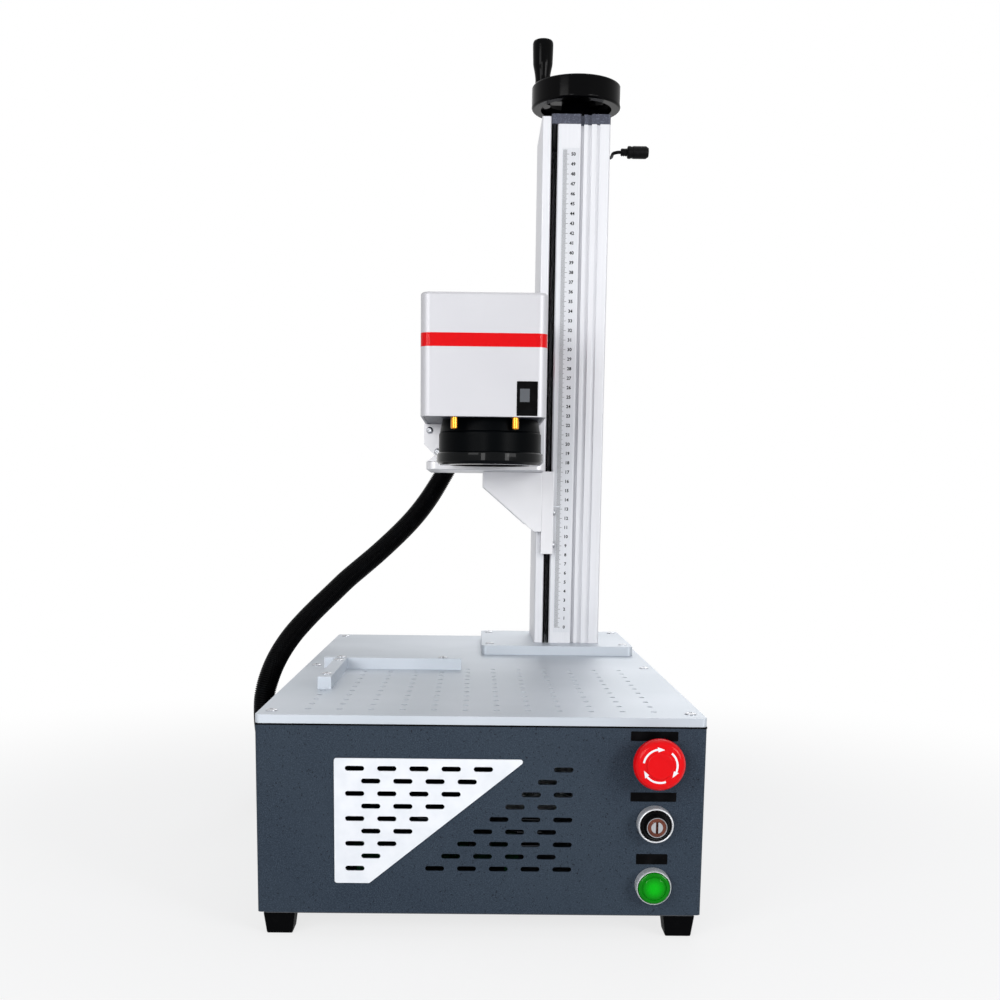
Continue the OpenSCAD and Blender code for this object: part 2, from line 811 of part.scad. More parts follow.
// Cooling fan: square frame with a four-armed centre, and the bladed rotor
module on_fan() {
    translate([fan_x, back_y - sheet_t, fan_z]) rotate([90, 0, 0]) children();
}
fan_hub_d = 30;
fan_pin_d = 3;
fan_back_t = 5;
fan_blades = 7;
module fan_frame() {
    color([0.1, 0.1, 0.1]) on_fan() difference() {
        union() {
            linear_extrude(fan_t) difference() {
                rounded_rect(fan_w, fan_w, fan_hub_d / 8);
                circle(d = fan_w * 0.95);
            }
            cylinder(d = fan_hub_d, h = fan_back_t);
            for (a = [0, 90]) rotate(a + 45)
                translate([-fan_w * 0.49, -fan_back_t / 2, 0])
                    cube([fan_w * 0.98, fan_back_t, fan_back_t]);
        }
        translate([0, 0, -cut]) cylinder(d = fan_pin_d + 2 * run, h = fan_t, $fn = 32);
    }
}
module fan_rotor() {
    gap = 0.6;
    blade_t = 1.5;
    blade_tilt = 40;
    h = fan_t - fan_back_t - 2 * gap;
    color([0.12, 0.12, 0.12]) on_fan() {
        translate([0, 0, fan_back_t + gap]) cylinder(d = fan_hub_d, h = h);
        translate([0, 0, gap]) cylinder(d = fan_pin_d, h = fan_back_t + gap, $fn = 32);
        intersection() {
            translate([0, 0, fan_back_t + gap]) tube(fan_w * 0.95 - 4 * gap, fan_hub_d - gap, h);
            for (k = [0 : fan_blades - 1]) rotate(k * 360 / fan_blades)
                translate([fan_hub_d / 2 - gap, 0, fan_back_t + gap + h / 2])
                    rotate([blade_tilt, 0, 0]) translate([0, -h, -blade_t / 2])
                        cube([fan_w / 2, 2 * h, blade_t]);
        }
    }
}
module power_inlet() {
    flange = 3;
    body_l = 32;
    color([0.07, 0.07, 0.07]) difference() {
        union() {
            upright(back_y, rear_reach) translate([inlet_x, inlet_z])
                square([inlet_w + 2 * flange, inlet_h + 2 * flange], center = true);
            upright(back_y - body_l, body_l + rear_reach / 2) translate([inlet_x, inlet_z])
                square([inlet_w, inlet_h], center = true);
        }
        upright(back_y - body_l * 0.6, body_l) translate([inlet_x, inlet_z - inlet_h / 4])
            square([inlet_w * 0.85, inlet_h * 0.36], center = true);
        upright(back_y + rear_reach / 3, body_l) translate([inlet_x, inlet_z + inlet_h / 4])
            square([inlet_w * 0.72, inlet_h * 0.3], center = true);
    }
}

// Column
function flange_spots() = [for (x = [flange_screw_x, flange_w - flange_screw_x],
    y = [flange_screw_y, flange_w - flange_screw_y]) [flange_x + x, flange_y + y]];
module column_flange() {
    color("silver") difference() {
        translate([flange_x + flange_w / 2, flange_y + flange_w / 2, deck_z])
            linear_extrude(flange_t) rounded_rect(flange_w, flange_w, flange_r);
        for (p = flange_spots()) translate([p.x, p.y, deck_z - cut])
            cylinder(d = screw_hole, h = flange_t + 2 * cut, $fn = 32);
    }
}
module flange_screws() {
    color([0.3, 0.3, 0.3]) for (p = flange_spots()) translate([p.x, p.y, deck_z + flange_t])
        button_screw(screw_shank, flange_t - cut, screw_head_d, screw_head_h, screw_hex);
}
// Cross-section of the extrusion: a channel open to the left, grooves in its front face
module extrusion_plan() {
    b = column_bevel;
    wide_x = body_right - groove_wide_in;
    narrow_x = body_right - groove_narrow_in;
    difference() {
        polygon([[body_x + b, column_front], [body_right - b, column_front],
            [body_right, column_front + b], [body_right, column_back - b],
            [body_right - b, column_back], [body_x + b, column_back],
            [body_x, column_back - b], [body_x, column_front + b]]);
        translate([body_x - cut, column_front + column_wall])
            square([column_w - column_wall + cut, column_d - 2 * column_wall]);
        translate([wide_x, column_front - cut]) square([groove_wide, groove_step + cut]);
        translate([wide_x, column_front - cut]) square([groove_deep_w, groove_deep + cut]);
        translate([wide_x + groove_wide - groove_low_w, column_front - cut])
            square([groove_low_w, groove_low + cut]);
        translate([narrow_x, column_front - cut])
            square([groove_narrow, groove_narrow_depth + cut]);
    }
}
module column_extrusion() {
    color("silver") translate([0, 0, column_z]) linear_extrude(column_h) extrusion_plan();
}
module column_cover() {
    b = column_bevel;
    color("gainsboro") translate([0, 0, column_z]) linear_extrude(column_h + cover_rise)
        polygon([[column_left + b, column_front], [gap_x - b, column_front],
            [gap_x, column_front + b], [gap_x, column_back - b], [gap_x - b, column_back],
            [column_left + b, column_back], [column_left, column_back - b],
            [column_left, column_front + b]]);
}
module slot_seals() {
    color([0.05, 0.05, 0.05]) for (x = [gap_x, body_x - seal_w],
        y = [column_front + seal_in + column_bevel,
            column_back - seal_in - column_bevel - seal_t])
        translate([x, y, column_z]) cube([seal_w, seal_t, column_h]);
}
module column_cap() {
    b = column_bevel;
    wide_x = body_right - groove_wide_in;
    z = column_top;
    color([0.35, 0.36, 0.38]) difference() {
        union() {
            translate([0, 0, z]) linear_extrude(cap_t) difference() {
                polygon([[gap_x, column_front + b], [gap_x + b, column_front],
                    [body_right - b, column_front], [body_right, column_front + b],
                    [body_right, column_back - b], [body_right - b, column_back],
                    [gap_x + b, column_back], [gap_x, column_back - b]]);
                translate([wide_x, column_front - cut])
                    square([groove_wide, groove_step + cut]);
                translate([wide_x, column_front - cut])
                    square([groove_deep_w, groove_deep + cut]);
                translate([wide_x + groove_wide - groove_low_w, column_front - cut])
                    square([groove_low_w, groove_low + cut]);
            }
            translate([screw_x, column_y, z + cap_t]) cylinder(d = cap_boss_d, h = cap_boss_h);
        }
        translate([screw_x, column_y, z - cut]) {
            cylinder(d = bearing_d + 2 * run, h = bearing_h + cut);
            cylinder(d = cap_bore_d, h = cap_t + cap_boss_h + 2 * cut);
        }
    }
}
module ruler_scale() {
    color("whitesmoke") translate([ruler_x, column_front - ruler_t, ruler_z])
        cube([ruler_w, ruler_t, ruler_l]);
}
module guide_rails() {
    color("gray") for (s = [-1, 1]) translate([screw_x, column_y + s * rod_spread, column_z])
        cylinder(d = rod_d, h = column_h);
}
module screw_bearings() {
    color("darkgray") {
        translate([screw_x, column_y, column_z])
            tube(bearing_d, journal_low_d + 2 * run, bearing_h);
        translate([screw_x, column_y, column_top])
            tube(bearing_d, journal_top_d + 2 * run, bearing_h);
    }
}
module lead_screw() {
    low = column_z + bearing_h + bearing_gap;
    high = column_top - bearing_gap;
    color("gray") translate([screw_x, column_y, 0]) {
        translate([0, 0, column_z + bearing_gap])
            cylinder(d = journal_low_d, h = bearing_h + cut);
        translate([0, 0, low]) cylinder(d = screw_d, h = high - low);
        for (z = [low, high - collar_t]) translate([0, 0, z])
            cylinder(d = collar_d, h = collar_t);
        translate([0, 0, high - cut])
            cylinder(d = journal_top_d, h = wheel_z + wheel_h * 0.7 - high + cut);
    }
}

// Handwheel: turned rim, web on spokes, hub, and the spindle that carries the grip
module wheel_profile() {
    r = wheel_d / 2;
    c = rim_round;
    translate([r - c, c]) circle(c);
    translate([r - c, wheel_h - c]) circle(c);
    translate([r - c, c]) square([c, wheel_h - 2 * c]);
    translate([r - rim_w, 0]) square([rim_w - c, wheel_h]);
}
module handwheel() {
    shaft = wheel_h * 0.7;
    rim_in = wheel_d / 2 - rim_w;
    shoulder = web_rise + web_t + hub_gap * 2;
    color([0.04, 0.04, 0.04]) translate([screw_x, column_y, wheel_z]) difference() {
        union() {
            rotate_extrude($fn = 96) wheel_profile();
            rotate_extrude($fn = 96) polygon([[0, -hub_foot], [hub_d * 0.4, -hub_foot],
                [hub_d / 2, -hub_foot * 0.8], [hub_d / 2, shoulder],
                [hub_d * 0.42, wheel_h * 0.85], [0, wheel_h * 0.85]]);
            for (k = [0 : spokes - 1]) rotate(180 + k * 360 / spokes)
                translate([0, -spoke_w / 2, web_rise])
                    cube([rim_in + rim_w * 0.3, spoke_w, web_t]);
            translate([0, 0, web_rise + web_t / 4])
                tube(2 * rim_in + rim_w * 0.4, 2 * rim_in - rim_w, web_t / 2);
            translate([-crank_r, 0, web_rise / 2])
                cylinder(d = crank_boss_d, h = wheel_h + boss_rise - web_rise / 2);
            translate([-crank_r, 0, wheel_h])
                cylinder(d = spindle_d, h = boss_rise + grip_gap + grip_l - grip_wall);
        }
        translate([0, 0, -hub_foot - cut])
            cylinder(d = journal_top_d + 2 * run, h = hub_foot + shaft + seat + cut);
    }
}
module crank_grip() {
    r = grip_d / 2;
    n = grip_neck_d / 2;
    color([0.04, 0.04, 0.04])
        translate([screw_x - crank_r, column_y, wheel_z + wheel_h + boss_rise + grip_gap])
        difference() {
            rotate_extrude() polygon([[0, 0], [n * 0.9, 0], [n, grip_l * 0.03],
                [r * 0.86, grip_l * 0.3], [r * 0.95, grip_l * 0.55], [r, grip_l * 0.8],
                [r, grip_l * 0.93], [r * 0.9, grip_l * 0.98], [r * 0.7, grip_l], [0, grip_l]]);
            translate([0, 0, -cut])
                cylinder(d = spindle_d + 2 * run, h = grip_l - grip_wall + seat + cut);
        }
}

// Carriage on the lift screw
module lift_nut() {
    color([0.72, 0.5, 0.2]) translate([screw_x, column_y, core_z]) difference() {
        union() {
            cylinder(d = nut_outer_d, h = core_h);
            translate([0, 0, -nut_flange_t]) cylinder(d = nut_flange_d, h = nut_flange_t);
        }
        translate([0, 0, -nut_flange_t - cut])
            cylinder(d = screw_d + 2 * run, h = core_h + nut_flange_t + 2 * cut);
    }
}
module carriage_core() {
    arm_x = gap_x + (column_gap - arm_t) / 2;
    core_d = column_d - 2 * column_wall - 2 * core_gap;
    color("darkgray") difference() {
        union() {
            translate([arm_x, column_front - arm_reach, core_z])
                cube([arm_t, column_d + 2 * arm_reach, core_h]);
            translate([arm_x, column_y - core_d / 2, core_z])
                cube([body_right - column_wall - core_gap - arm_x, core_d, core_h]);
        }
        translate([screw_x, column_y, core_z - cut])
            cylinder(d = nut_outer_d + 2 * run, h = core_h + 2 * cut);
        for (s = [-1, 1]) translate([screw_x, column_y + s * rod_spread, core_z - cut])
            cylinder(d = rod_d + 2 * run, h = core_h + 2 * cut);
    }
}
module carriage_saddle() {
    web_x = column_left - saddle_gap - saddle_t;
    out = arm_reach + saddle_flange_t;
    color("silver") translate([0, 0, shelf_z - saddle_h]) linear_extrude(saddle_h) {
        translate([web_x, column_front - out])
            square([saddle_t, column_d + 2 * out]);
        for (y = [column_front - out, column_back + arm_reach])
            translate([web_x, y]) square([ear_left - web_x, saddle_flange_t]);
    }
}
// Bars outside the column's slots, screwed to the carriage arms
module carriage_ears() {
    color("silver") for (y = [column_front - arm_reach - ear_t, column_back + arm_reach])
        translate([ear_left, y, ear_top - ear_h]) cube([ear_w, ear_t, ear_h]);
}
module gusset_plan(right) {
    polygon([[gusset_left, shelf_z], [right, shelf_z], [right, shelf_z - gusset_h],
        [ear_left - gusset_foot, shelf_z - gusset_h],
        [gusset_left, shelf_z - gusset_side_h]]);
}
module bracket_gussets() {
    saddle_front = column_front - arm_reach - saddle_flange_t;
    web_left = column_left - saddle_gap - saddle_t;
    color([0.75, 0.75, 0.76]) {
        upright(saddle_front - bracket_t, bracket_t) gusset_plan(ear_left);
        upright(shelf_front + shelf_l - bracket_t, bracket_t) intersection() {
            gusset_plan(ear_left);
            translate([gusset_left, shelf_z - gusset_h])
                square([web_left - gusset_left, gusset_h]);
        }
    }
}
module shelf_plate() {
    front_l = column_front - arm_reach - shelf_front;
    color("silver") translate([0, 0, shelf_z]) linear_extrude(shelf_t) {
        translate([shelf_left, shelf_front + shelf_r])
            square([shelf_right - shelf_left, shelf_l - shelf_r]);
        translate([shelf_left + shelf_r, shelf_front])
            square([ear_left - shelf_left - 2 * shelf_r, front_l]);
        translate([shelf_left, shelf_front + shelf_r])
            square([ear_left - shelf_left, front_l - shelf_r]);
        for (x = [shelf_left + shelf_r, ear_left - shelf_r])
            translate([x, shelf_front + shelf_r]) circle(shelf_r);
    }
}
// Upright plates between shelf and head, waisted above the shelf
module riser_plan(top_w) {
    rise = head_z - shelf_top;
    side = rise - riser_side_h;
    half = [for (p = [[top_w, rise], [top_w, side], [riser_waist_w, riser_waist_h],
        [riser_foot_w, 0]]) [p.x / 2, shelf_top + p.y]];
    polygon(concat(half, [for (k = [3 : -1 : 0]) [-half[k].x, half[k].y]]));
}
module riser_plates() {
    color("silver") {
        difference() {
            upright(shelf_front, bracket_t) riser_plan(riser_top_w);
            for (p = riser_screw, s = [-1, 1])
                translate([s * p.x, shelf_front + bracket_t + cut, shelf_top + p.y])
                    rotate([90, 0, 0])
                        cylinder(d = riser_screw_d + seat, h = bracket_t + 2 * cut, $fn = 32);
        }
        upright(head_back - bracket_t, bracket_t) riser_plan(riser_back_w);
    }
}
module bracket_screws() {
    color([0.12, 0.12, 0.12]) {
        for (p = riser_screw, s = [-1, 1])
            translate([s * p.x, shelf_front, shelf_top + p.y]) rotate([90, 0, 0])
                button_screw(riser_screw_d, bracket_t - cut, riser_screw_head_d,
                    riser_screw_head_h, screw_hex);
        for (drop = ear_screw_drop)
            translate([ear_left + ear_w, column_front - arm_reach - ear_t / 2, ear_top - drop])
                rotate([0, 90, 0]) button_screw(riser_screw_d, 0, riser_screw_head_d,
                    riser_screw_head_h, screw_hex);
    }
}
module scale_pointer() {
    y = column_front - arm_reach - pointer_t;
    color("white") translate([ear_left + ear_w, y, ear_top - pointer_drop])
        linear_extrude(pointer_t, center = true)
            polygon([[0, 0], [pointer_l, pointer_t * 0.35], [pointer_l, pointer_t * 0.65],
                [0, pointer_t]]);
}

// Marking head
module head_housing() {
    mid_y = (head_front + head_back) / 2;
    inner = head_r - head_wall;
    color([0.82, 0.83, 0.85]) difference() {
        translate([0, mid_y, head_z]) linear_extrude(head_h) rounded_rect(head_w, head_l, head_r);
        translate([0, mid_y, head_z - cut]) linear_extrude(head_h - head_top_t + cut)
            rounded_rect(head_w - 2 * head_wall, head_l - 2 * head_wall, inner);
        translate([gland_x, head_back + cut, gland_z]) rotate([90, 0, 0])
            cylinder(d = gland_neck_d + 2 * run, h = 2 * head_wall);
    }
}
// Heights and depths of the scan block, shared by its plates, motors and mirrors
beam_z = head_z + base_t + beam_h;
mirror_x = lens_x - mirror_gap;
block_y = lens_y + mirror_w * 1.3;
block_z = beam_z + mirror_w * 1.3;
module head_base() {
    w = head_w - 2 * head_wall - 2 * seat;
    l = head_l - 2 * head_wall - 2 * seat;
    left = mirror_x - galvo_d * 0.7;
    right = lens_x + galvo_d * 0.7;
    color([0.1, 0.1, 0.11]) difference() {
        union() {
            translate([0, (head_front + head_back) / 2, head_z]) linear_extrude(base_t)
                rounded_rect(w, l, head_r - head_wall - seat);
            translate([left, block_y, head_z])
                cube([right - left, block_t, block_z + block_t - head_z]);
            translate([left, lens_y - galvo_d * 0.7, block_z])
                cube([galvo_d * 1.4, block_y + block_t - lens_y + galvo_d * 0.7, block_t]);
        }
        translate([lens_x, lens_y, head_z - cut])
            cylinder(d = lens_thread_d, h = base_t + 2 * cut, $fn = 96);
        translate([mirror_x, lens_y, block_z - cut])
            cylinder(d = galvo_d + 2 * run, h = block_t + 2 * cut);
        for (hole = [[lens_x, galvo_d + 2 * run], [mirror_x, mirror_w]])
            translate([hole[0], block_y - cut, beam_z]) rotate([-90, 0, 0])
                cylinder(d = hole[1], h = block_t + 2 * cut);
    }
}
module lens_neck() {
    color([0.06, 0.06, 0.06]) translate([lens_x, lens_y, head_z]) difference() {
        union() {
            translate([0, 0, -neck_h]) cylinder(d1 = neck_low_d, d2 = neck_outer_d, h = neck_h,
                $fn = 96);
            translate([0, 0, -neck_h]) cylinder(d = lens_thread_d - 2 * run,
                h = neck_h + base_t, $fn = 96);
        }
        translate([0, 0, -neck_h - cut])
            cylinder(d = neck_bore_d, h = neck_h + base_t + 2 * cut, $fn = 96);
    }
}
module lens_barrel() {
    low = lens_h - neck_h;
    b = barrel_d / 2;
    l = lens_d / 2;
    bore = lens_bore_d / 2;
    e = lens_bevel;
    color([0.05, 0.05, 0.05]) translate([lens_x, lens_y, head_z - neck_h])
        rotate_extrude($fn = 96) polygon([[bore, 0], [neck_low_d / 2, 0],
            [b, -low * 0.1], [b, -barrel_h], [l - e, -barrel_h - e], [l, -barrel_h - 2 * e],
            [l, ring_h - low + e], [l - e, ring_h - low], [bore, ring_h - low]]);
}
module lens_ring() {
    l = lens_d / 2 - lens_bevel;
    inner = lens_bore_d / 2 - lens_bevel;
    color("lightgray") translate([lens_x, lens_y, head_z - lens_h])
        rotate_extrude($fn = 96) polygon([[inner, 0], [l - 2 * lens_bevel, 0], [l, ring_h],
            [inner, ring_h]]);
}
module lens_glass() {
    bore = lens_bore_d / 2 - run;
    color([0.2, 0.25, 0.3]) translate([lens_x, lens_y, head_z - lens_h + ring_h])
        rotate_extrude($fn = 96) polygon([[0, 0], [bore * 0.6, glass_rise * 0.12],
            [bore * 0.85, glass_rise * 0.4], [bore, glass_rise * 0.6],
            [bore, glass_rise + glass_t], [0, glass_rise + glass_t]]);
}
module pointer_lamps() {
    color([0.8, 0.5, 0.15]) for (x = lamp_spots) translate([x, lamp_spot_y, head_z])
        rotate([180, 0, 0]) difference() {
            rotate_extrude() polygon([[0, 0], [lamp_spot_d / 2, 0],
                [lamp_spot_d / 2, lamp_spot_h * 0.9], [lamp_spot_d * 0.4, lamp_spot_h],
                [0, lamp_spot_h]]);
            translate([0, 0, lamp_spot_h * 0.8])
                cylinder(d = lamp_spot_d / 2, h = lamp_spot_h, $fn = 32);
        }
}
// Scan motors: the first mirror turns on an upright axis, the second on a level one
module scan_motor() {
    difference() {
        cylinder(d = galvo_d, h = galvo_l);
        translate([0, 0, -cut]) cylinder(d = galvo_shaft_d + 2 * run, h = galvo_l / 2, $fn = 32);
    }
}
module galvo_motors() {
    color([0.2, 0.2, 0.22]) {
        translate([mirror_x, lens_y, block_z]) scan_motor();
        translate([lens_x, block_y, beam_z]) rotate([-90, 0, 0]) scan_motor();
    }
}
module mirror_on_shaft() {
    translate([0, 0, mirror_w * 0.6])
        cylinder(d = galvo_shaft_d, h = mirror_w * 0.7 + galvo_l / 4, $fn = 32);
    translate([-mirror_w / 2, -mirror_t / 2, -mirror_w * 0.7])
        cube([mirror_w, mirror_t, mirror_w * 1.4]);
}
module galvo_mirror_x() {
    color("white") translate([mirror_x, lens_y, beam_z]) rotate(-45) mirror_on_shaft();
}
module galvo_mirror_y() {
    color("white") translate([lens_x, lens_y, beam_z]) rotate([-90, 0, 0]) rotate(45)
        mirror_on_shaft();
}
module beam_collimator() {
    y = block_y + block_t;
    l = head_back - y - collimator_room;
    color([0.3, 0.3, 0.33]) {
        translate([mirror_x, y, beam_z]) rotate([-90, 0, 0])
            cylinder(d = collimator_d, h = l);
        translate([mirror_x - collimator_d / 4, y + l / 4, head_z + base_t])
            cube([collimator_d / 2, l / 2, beam_h]);
    }
}

// Hose fittings: a straight gland on the head and an elbow on the cabinet's side
module hose_gland() {
    color([0.07, 0.07, 0.07]) translate([gland_x, head_back, gland_z]) rotate([-90, 0, 0])
        difference() {
            union() {
                cylinder(d = gland_nut_d, h = gland_nut_t, $fn = 6);
                cylinder(d = gland_d, h = gland_l);
                translate([0, 0, -2 * head_wall])
                    cylinder(d = gland_neck_d, h = 2 * head_wall + cut);
            }
            translate([0, 0, -2 * head_wall - cut])
                cylinder(d = gland_bore, h = gland_l + 2 * head_wall + 2 * cut);
        }
}
bend_y = elbow_y + elbow_collar_l;
module elbow_solid(d) {
    side = -cabinet_w / 2;
    translate([elbow_x + elbow_r, bend_y + elbow_r, elbow_z]) rotate([0, 90, 0])
        cylinder(d = d, h = side - elbow_x - elbow_r);
    translate([elbow_x + elbow_r, bend_y, elbow_z]) rotate(90)
        rotate_extrude(angle = 90) translate([elbow_r, 0]) circle(d = d);
    translate([elbow_x, elbow_y, elbow_z]) rotate([-90, 0, 0])
        cylinder(d = d, h = elbow_collar_l);
}
module hose_elbow() {
    side = -cabinet_w / 2;
    hole_y = bend_y + elbow_r;
    color([0.07, 0.07, 0.07]) difference() {
        union() {
            elbow_solid(elbow_d);
            translate([elbow_x, elbow_y, elbow_z]) rotate([-90, 0, 0])
                cylinder(d = elbow_collar_d, h = elbow_collar_l);
            translate([side - elbow_nut_t, hole_y, elbow_z]) rotate([0, 90, 0])
                cylinder(d = elbow_nut_d, h = elbow_nut_t, $fn = 6);
            translate([side - cut, hole_y, elbow_z]) rotate([0, 90, 0])
                cylinder(d = elbow_neck_d, h = sheet_t * 4 + cut);
        }
        elbow_solid(elbow_bore);
        translate([side - cut, hole_y, elbow_z]) rotate([0, 90, 0])
            cylinder(d = elbow_bore, h = sheet_t * 8);
        translate([elbow_x, elbow_y - cut, elbow_z]) rotate([-90, 0, 0])
            cylinder(d = elbow_bore, h = elbow_collar_l + cut);
    }
}

// A tube along a route: points on a smooth curve, rings carried along it without twist
function unit(v) = v / norm(v);
function curve_point(a, b, c, d, t) = 0.5 * ((2 * b) + (c - a) * t
    + (2 * a - 5 * b + 4 * c - d) * t * t + (3 * b - a - 3 * c + d) * t * t * t);
function smooth(p, n) = let (m = len(p) - 1, q = concat([2 * p[0] - p[1]], p,
    [2 * p[m] - p[m - 1]])) concat([for (i = [1 : m], k = [0 : n - 1])
    curve_point(q[i - 1], q[i], q[i + 1], q[i + 2], k / n)], [p[m]]);
function lengths(p) = [for (i = 0, s = 0; i < len(p); i = i + 1,
    s = i < len(p) ? s + norm(p[i] - p[i - 1]) : s) s];
function along(p, s, at) = [for (k = [0 : 2])
    lookup(at, [for (i = [0 : len(p) - 1]) [s[i], p[i][k]]])];
function across(v, t) = unit(v - (v * t) * t);
function normals(t) = [for (i = 0, n = across([0.3, 0.2, 1], t[0]); i < len(t); i = i + 1,
    n = i < len(t) ? across(n, t[i]) : n) n];
// Rings of a tube: a centre, a direction and a radius for each
function ring(c, t, n, r, sides) = let (b = cross(t, n)) [for (k = [0 : sides - 1])
    c + r * (cos(360 * k / sides) * n + sin(360 * k / sides) * b)];
function tangents(p, s, stops) = let (e = 0.5, l = s[len(s) - 1]) [for (at = stops)
    unit(along(p, s, min(at + e, l)) - along(p, s, max(at - e, 0)))];
function rings(p, s, stops, radii, sides) = let (t = tangents(p, s, stops), n = normals(t))
    [for (i = [0 : len(stops) - 1])
        for (q = ring(along(p, s, stops[i]), t[i], n[i], radii[i], sides)) q];
function skin(count, sides, first, flip) = [for (i = [0 : count - 2], k = [0 : sides - 1])
    let (a = first + i * sides + k, b = first + i * sides + (k + 1) % sides)
    for (f = [[a, b, a + sides], [b, b + sides, a + sides]]) flip ? [f[2], f[1], f[0]] : f];
function rim(outer, inner, sides, flip) = [for (k = [0 : sides - 1])
    let (a = outer + k, b = outer + (k + 1) % sides, c = inner + k, d = inner + (k + 1) % sides)
    for (f = [[a, c, b], [b, c, d]]) flip ? [f[2], f[1], f[0]] : f];
module hose() {
    sides = 8;
    p = smooth(hose_route, 10);
    s = lengths(p);
    l = s[len(s) - 1];
    echo(hose_length = l);
    plain = hose_d;
    pitch = (l - 2 * plain) / hose_ribs;
    stops = concat([0], [for (k = [0 : hose_ribs - 1]) for (h = [0.25, 0.75])
        plain + (k + h) * pitch], [l]);
    radii = concat([hose_d / 2 - rib_depth], [for (k = [0 : hose_ribs - 1]) for (h = [0, 1])
        hose_d / 2 - h * rib_depth], [hose_d / 2 - rib_depth]);
    bores = 48;
    bore_stops = [for (k = [0 : bores]) k * l / bores];
    bore_radii = [for (k = [0 : bores]) hose_bore / 2];
    outer = rings(p, s, stops, radii, sides);
    inner = rings(p, s, bore_stops, bore_radii, sides);
    n = len(outer);
    last_outer = n - sides;
    last_inner = n + len(inner) - sides;
    color([0.05, 0.05, 0.05]) polyhedron(points = concat(outer, inner), faces = concat(
        skin(len(stops), sides, 0, false), skin(bores + 1, sides, n, true),
        rim(0, n, sides, false), rim(last_outer, last_inner, sides, true)));
}
module lift_lead() {
    sides = 8;
    s = lengths(lead_route);
    l = s[len(s) - 1];
    steps = 16;
    stops = [for (k = [0 : steps]) k * l / steps];
    body = rings(lead_route, s, stops, [for (k = stops) lead_d / 2], sides);
    caps = [[for (k = [sides - 1 : -1 : 0]) k], [for (k = [0 : sides - 1]) steps * sides + k]];
    color([0.05, 0.05, 0.05]) polyhedron(points = body,
        faces = concat(skin(steps + 1, sides, 0, false), caps));
}
module lift_plug() {
    boot = plug_boot_d / 2;
    body = plug_d / 2;
    color([0.05, 0.05, 0.05]) translate([plug_x, lead_y, lead_z]) rotate([0, 90, 0])
        rotate_extrude() polygon([[0, 0], [boot * 0.8, 0], [boot, plug_boot_l],
            [body * 0.9, plug_boot_l], [body, plug_boot_l + plug_step],
            [body, plug_boot_l + plug_l], [body * 0.7, plug_boot_l + plug_l + plug_bevel],
            [0, plug_boot_l + plug_l + plug_bevel]]);
}

base_tray();
cabinet_wrap();
rear_panel();
vent_plate();
deck_plate();
deck_screws();
feet();
stop_bar_cross();
stop_bar_side();
estop_collar();
estop_plunger();
estop_button();
key_bezel();
key_barrel();
lamp_bezel();
lamp_cap();
switch_backs();
laser_source();
power_supply();
control_board();
fan_frame();
fan_rotor();
power_inlet();
column_flange();
flange_screws();
column_extrusion();
column_cover();
slot_seals();
column_cap();
ruler_scale();
guide_rails();
screw_bearings();
lead_screw();
handwheel();
crank_grip();
lift_nut();
carriage_core();
carriage_saddle();
carriage_ears();
bracket_gussets();
shelf_plate();
riser_plates();
bracket_screws();
scale_pointer();
head_housing();
head_base();
lens_neck();
lens_barrel();
lens_ring();
lens_glass();
pointer_lamps();
galvo_motors();
galvo_mirror_x();
galvo_mirror_y();
beam_collimator();
hose_gland();
hose_elbow();
hose();
lift_lead();
lift_plug();
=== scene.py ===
import math

import bpy
from mathutils import Matrix, Vector


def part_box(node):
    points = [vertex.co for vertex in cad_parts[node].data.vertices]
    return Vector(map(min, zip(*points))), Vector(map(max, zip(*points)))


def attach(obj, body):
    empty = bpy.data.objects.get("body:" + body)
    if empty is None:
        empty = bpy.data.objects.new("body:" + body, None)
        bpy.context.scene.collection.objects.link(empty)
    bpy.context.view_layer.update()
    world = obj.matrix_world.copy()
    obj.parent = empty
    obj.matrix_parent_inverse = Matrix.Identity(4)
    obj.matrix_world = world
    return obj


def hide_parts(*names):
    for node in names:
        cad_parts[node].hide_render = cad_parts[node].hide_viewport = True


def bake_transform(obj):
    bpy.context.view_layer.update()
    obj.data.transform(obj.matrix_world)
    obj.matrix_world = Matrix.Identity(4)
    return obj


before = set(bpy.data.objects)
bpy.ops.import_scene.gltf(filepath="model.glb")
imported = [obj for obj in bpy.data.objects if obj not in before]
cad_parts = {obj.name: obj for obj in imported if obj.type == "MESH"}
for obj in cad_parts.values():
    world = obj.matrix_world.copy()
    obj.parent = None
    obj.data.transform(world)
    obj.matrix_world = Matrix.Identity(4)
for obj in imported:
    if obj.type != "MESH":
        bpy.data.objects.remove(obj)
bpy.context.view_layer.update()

# Camera: it stands in front of the machine, a little above the work plate, as in the photograph.
# Its place and angles were solved from the plate's grid of holes. The shift keeps the picture's crop.
camera_data = bpy.data.cameras.new("camera")
camera_data.sensor_width = 36
camera_data.lens = 44.93
camera_data.shift_x = 0.0138
camera_data.shift_y = 0.1958
camera = bpy.data.objects.new("camera", camera_data)
camera.location = (-0.00496, -1.2391, 0.3397)
camera.rotation_euler = [math.radians(angle) for angle in (81.293, -0.644, -0.413)]
bpy.context.scene.collection.objects.link(camera)
bpy.context.scene.camera = camera


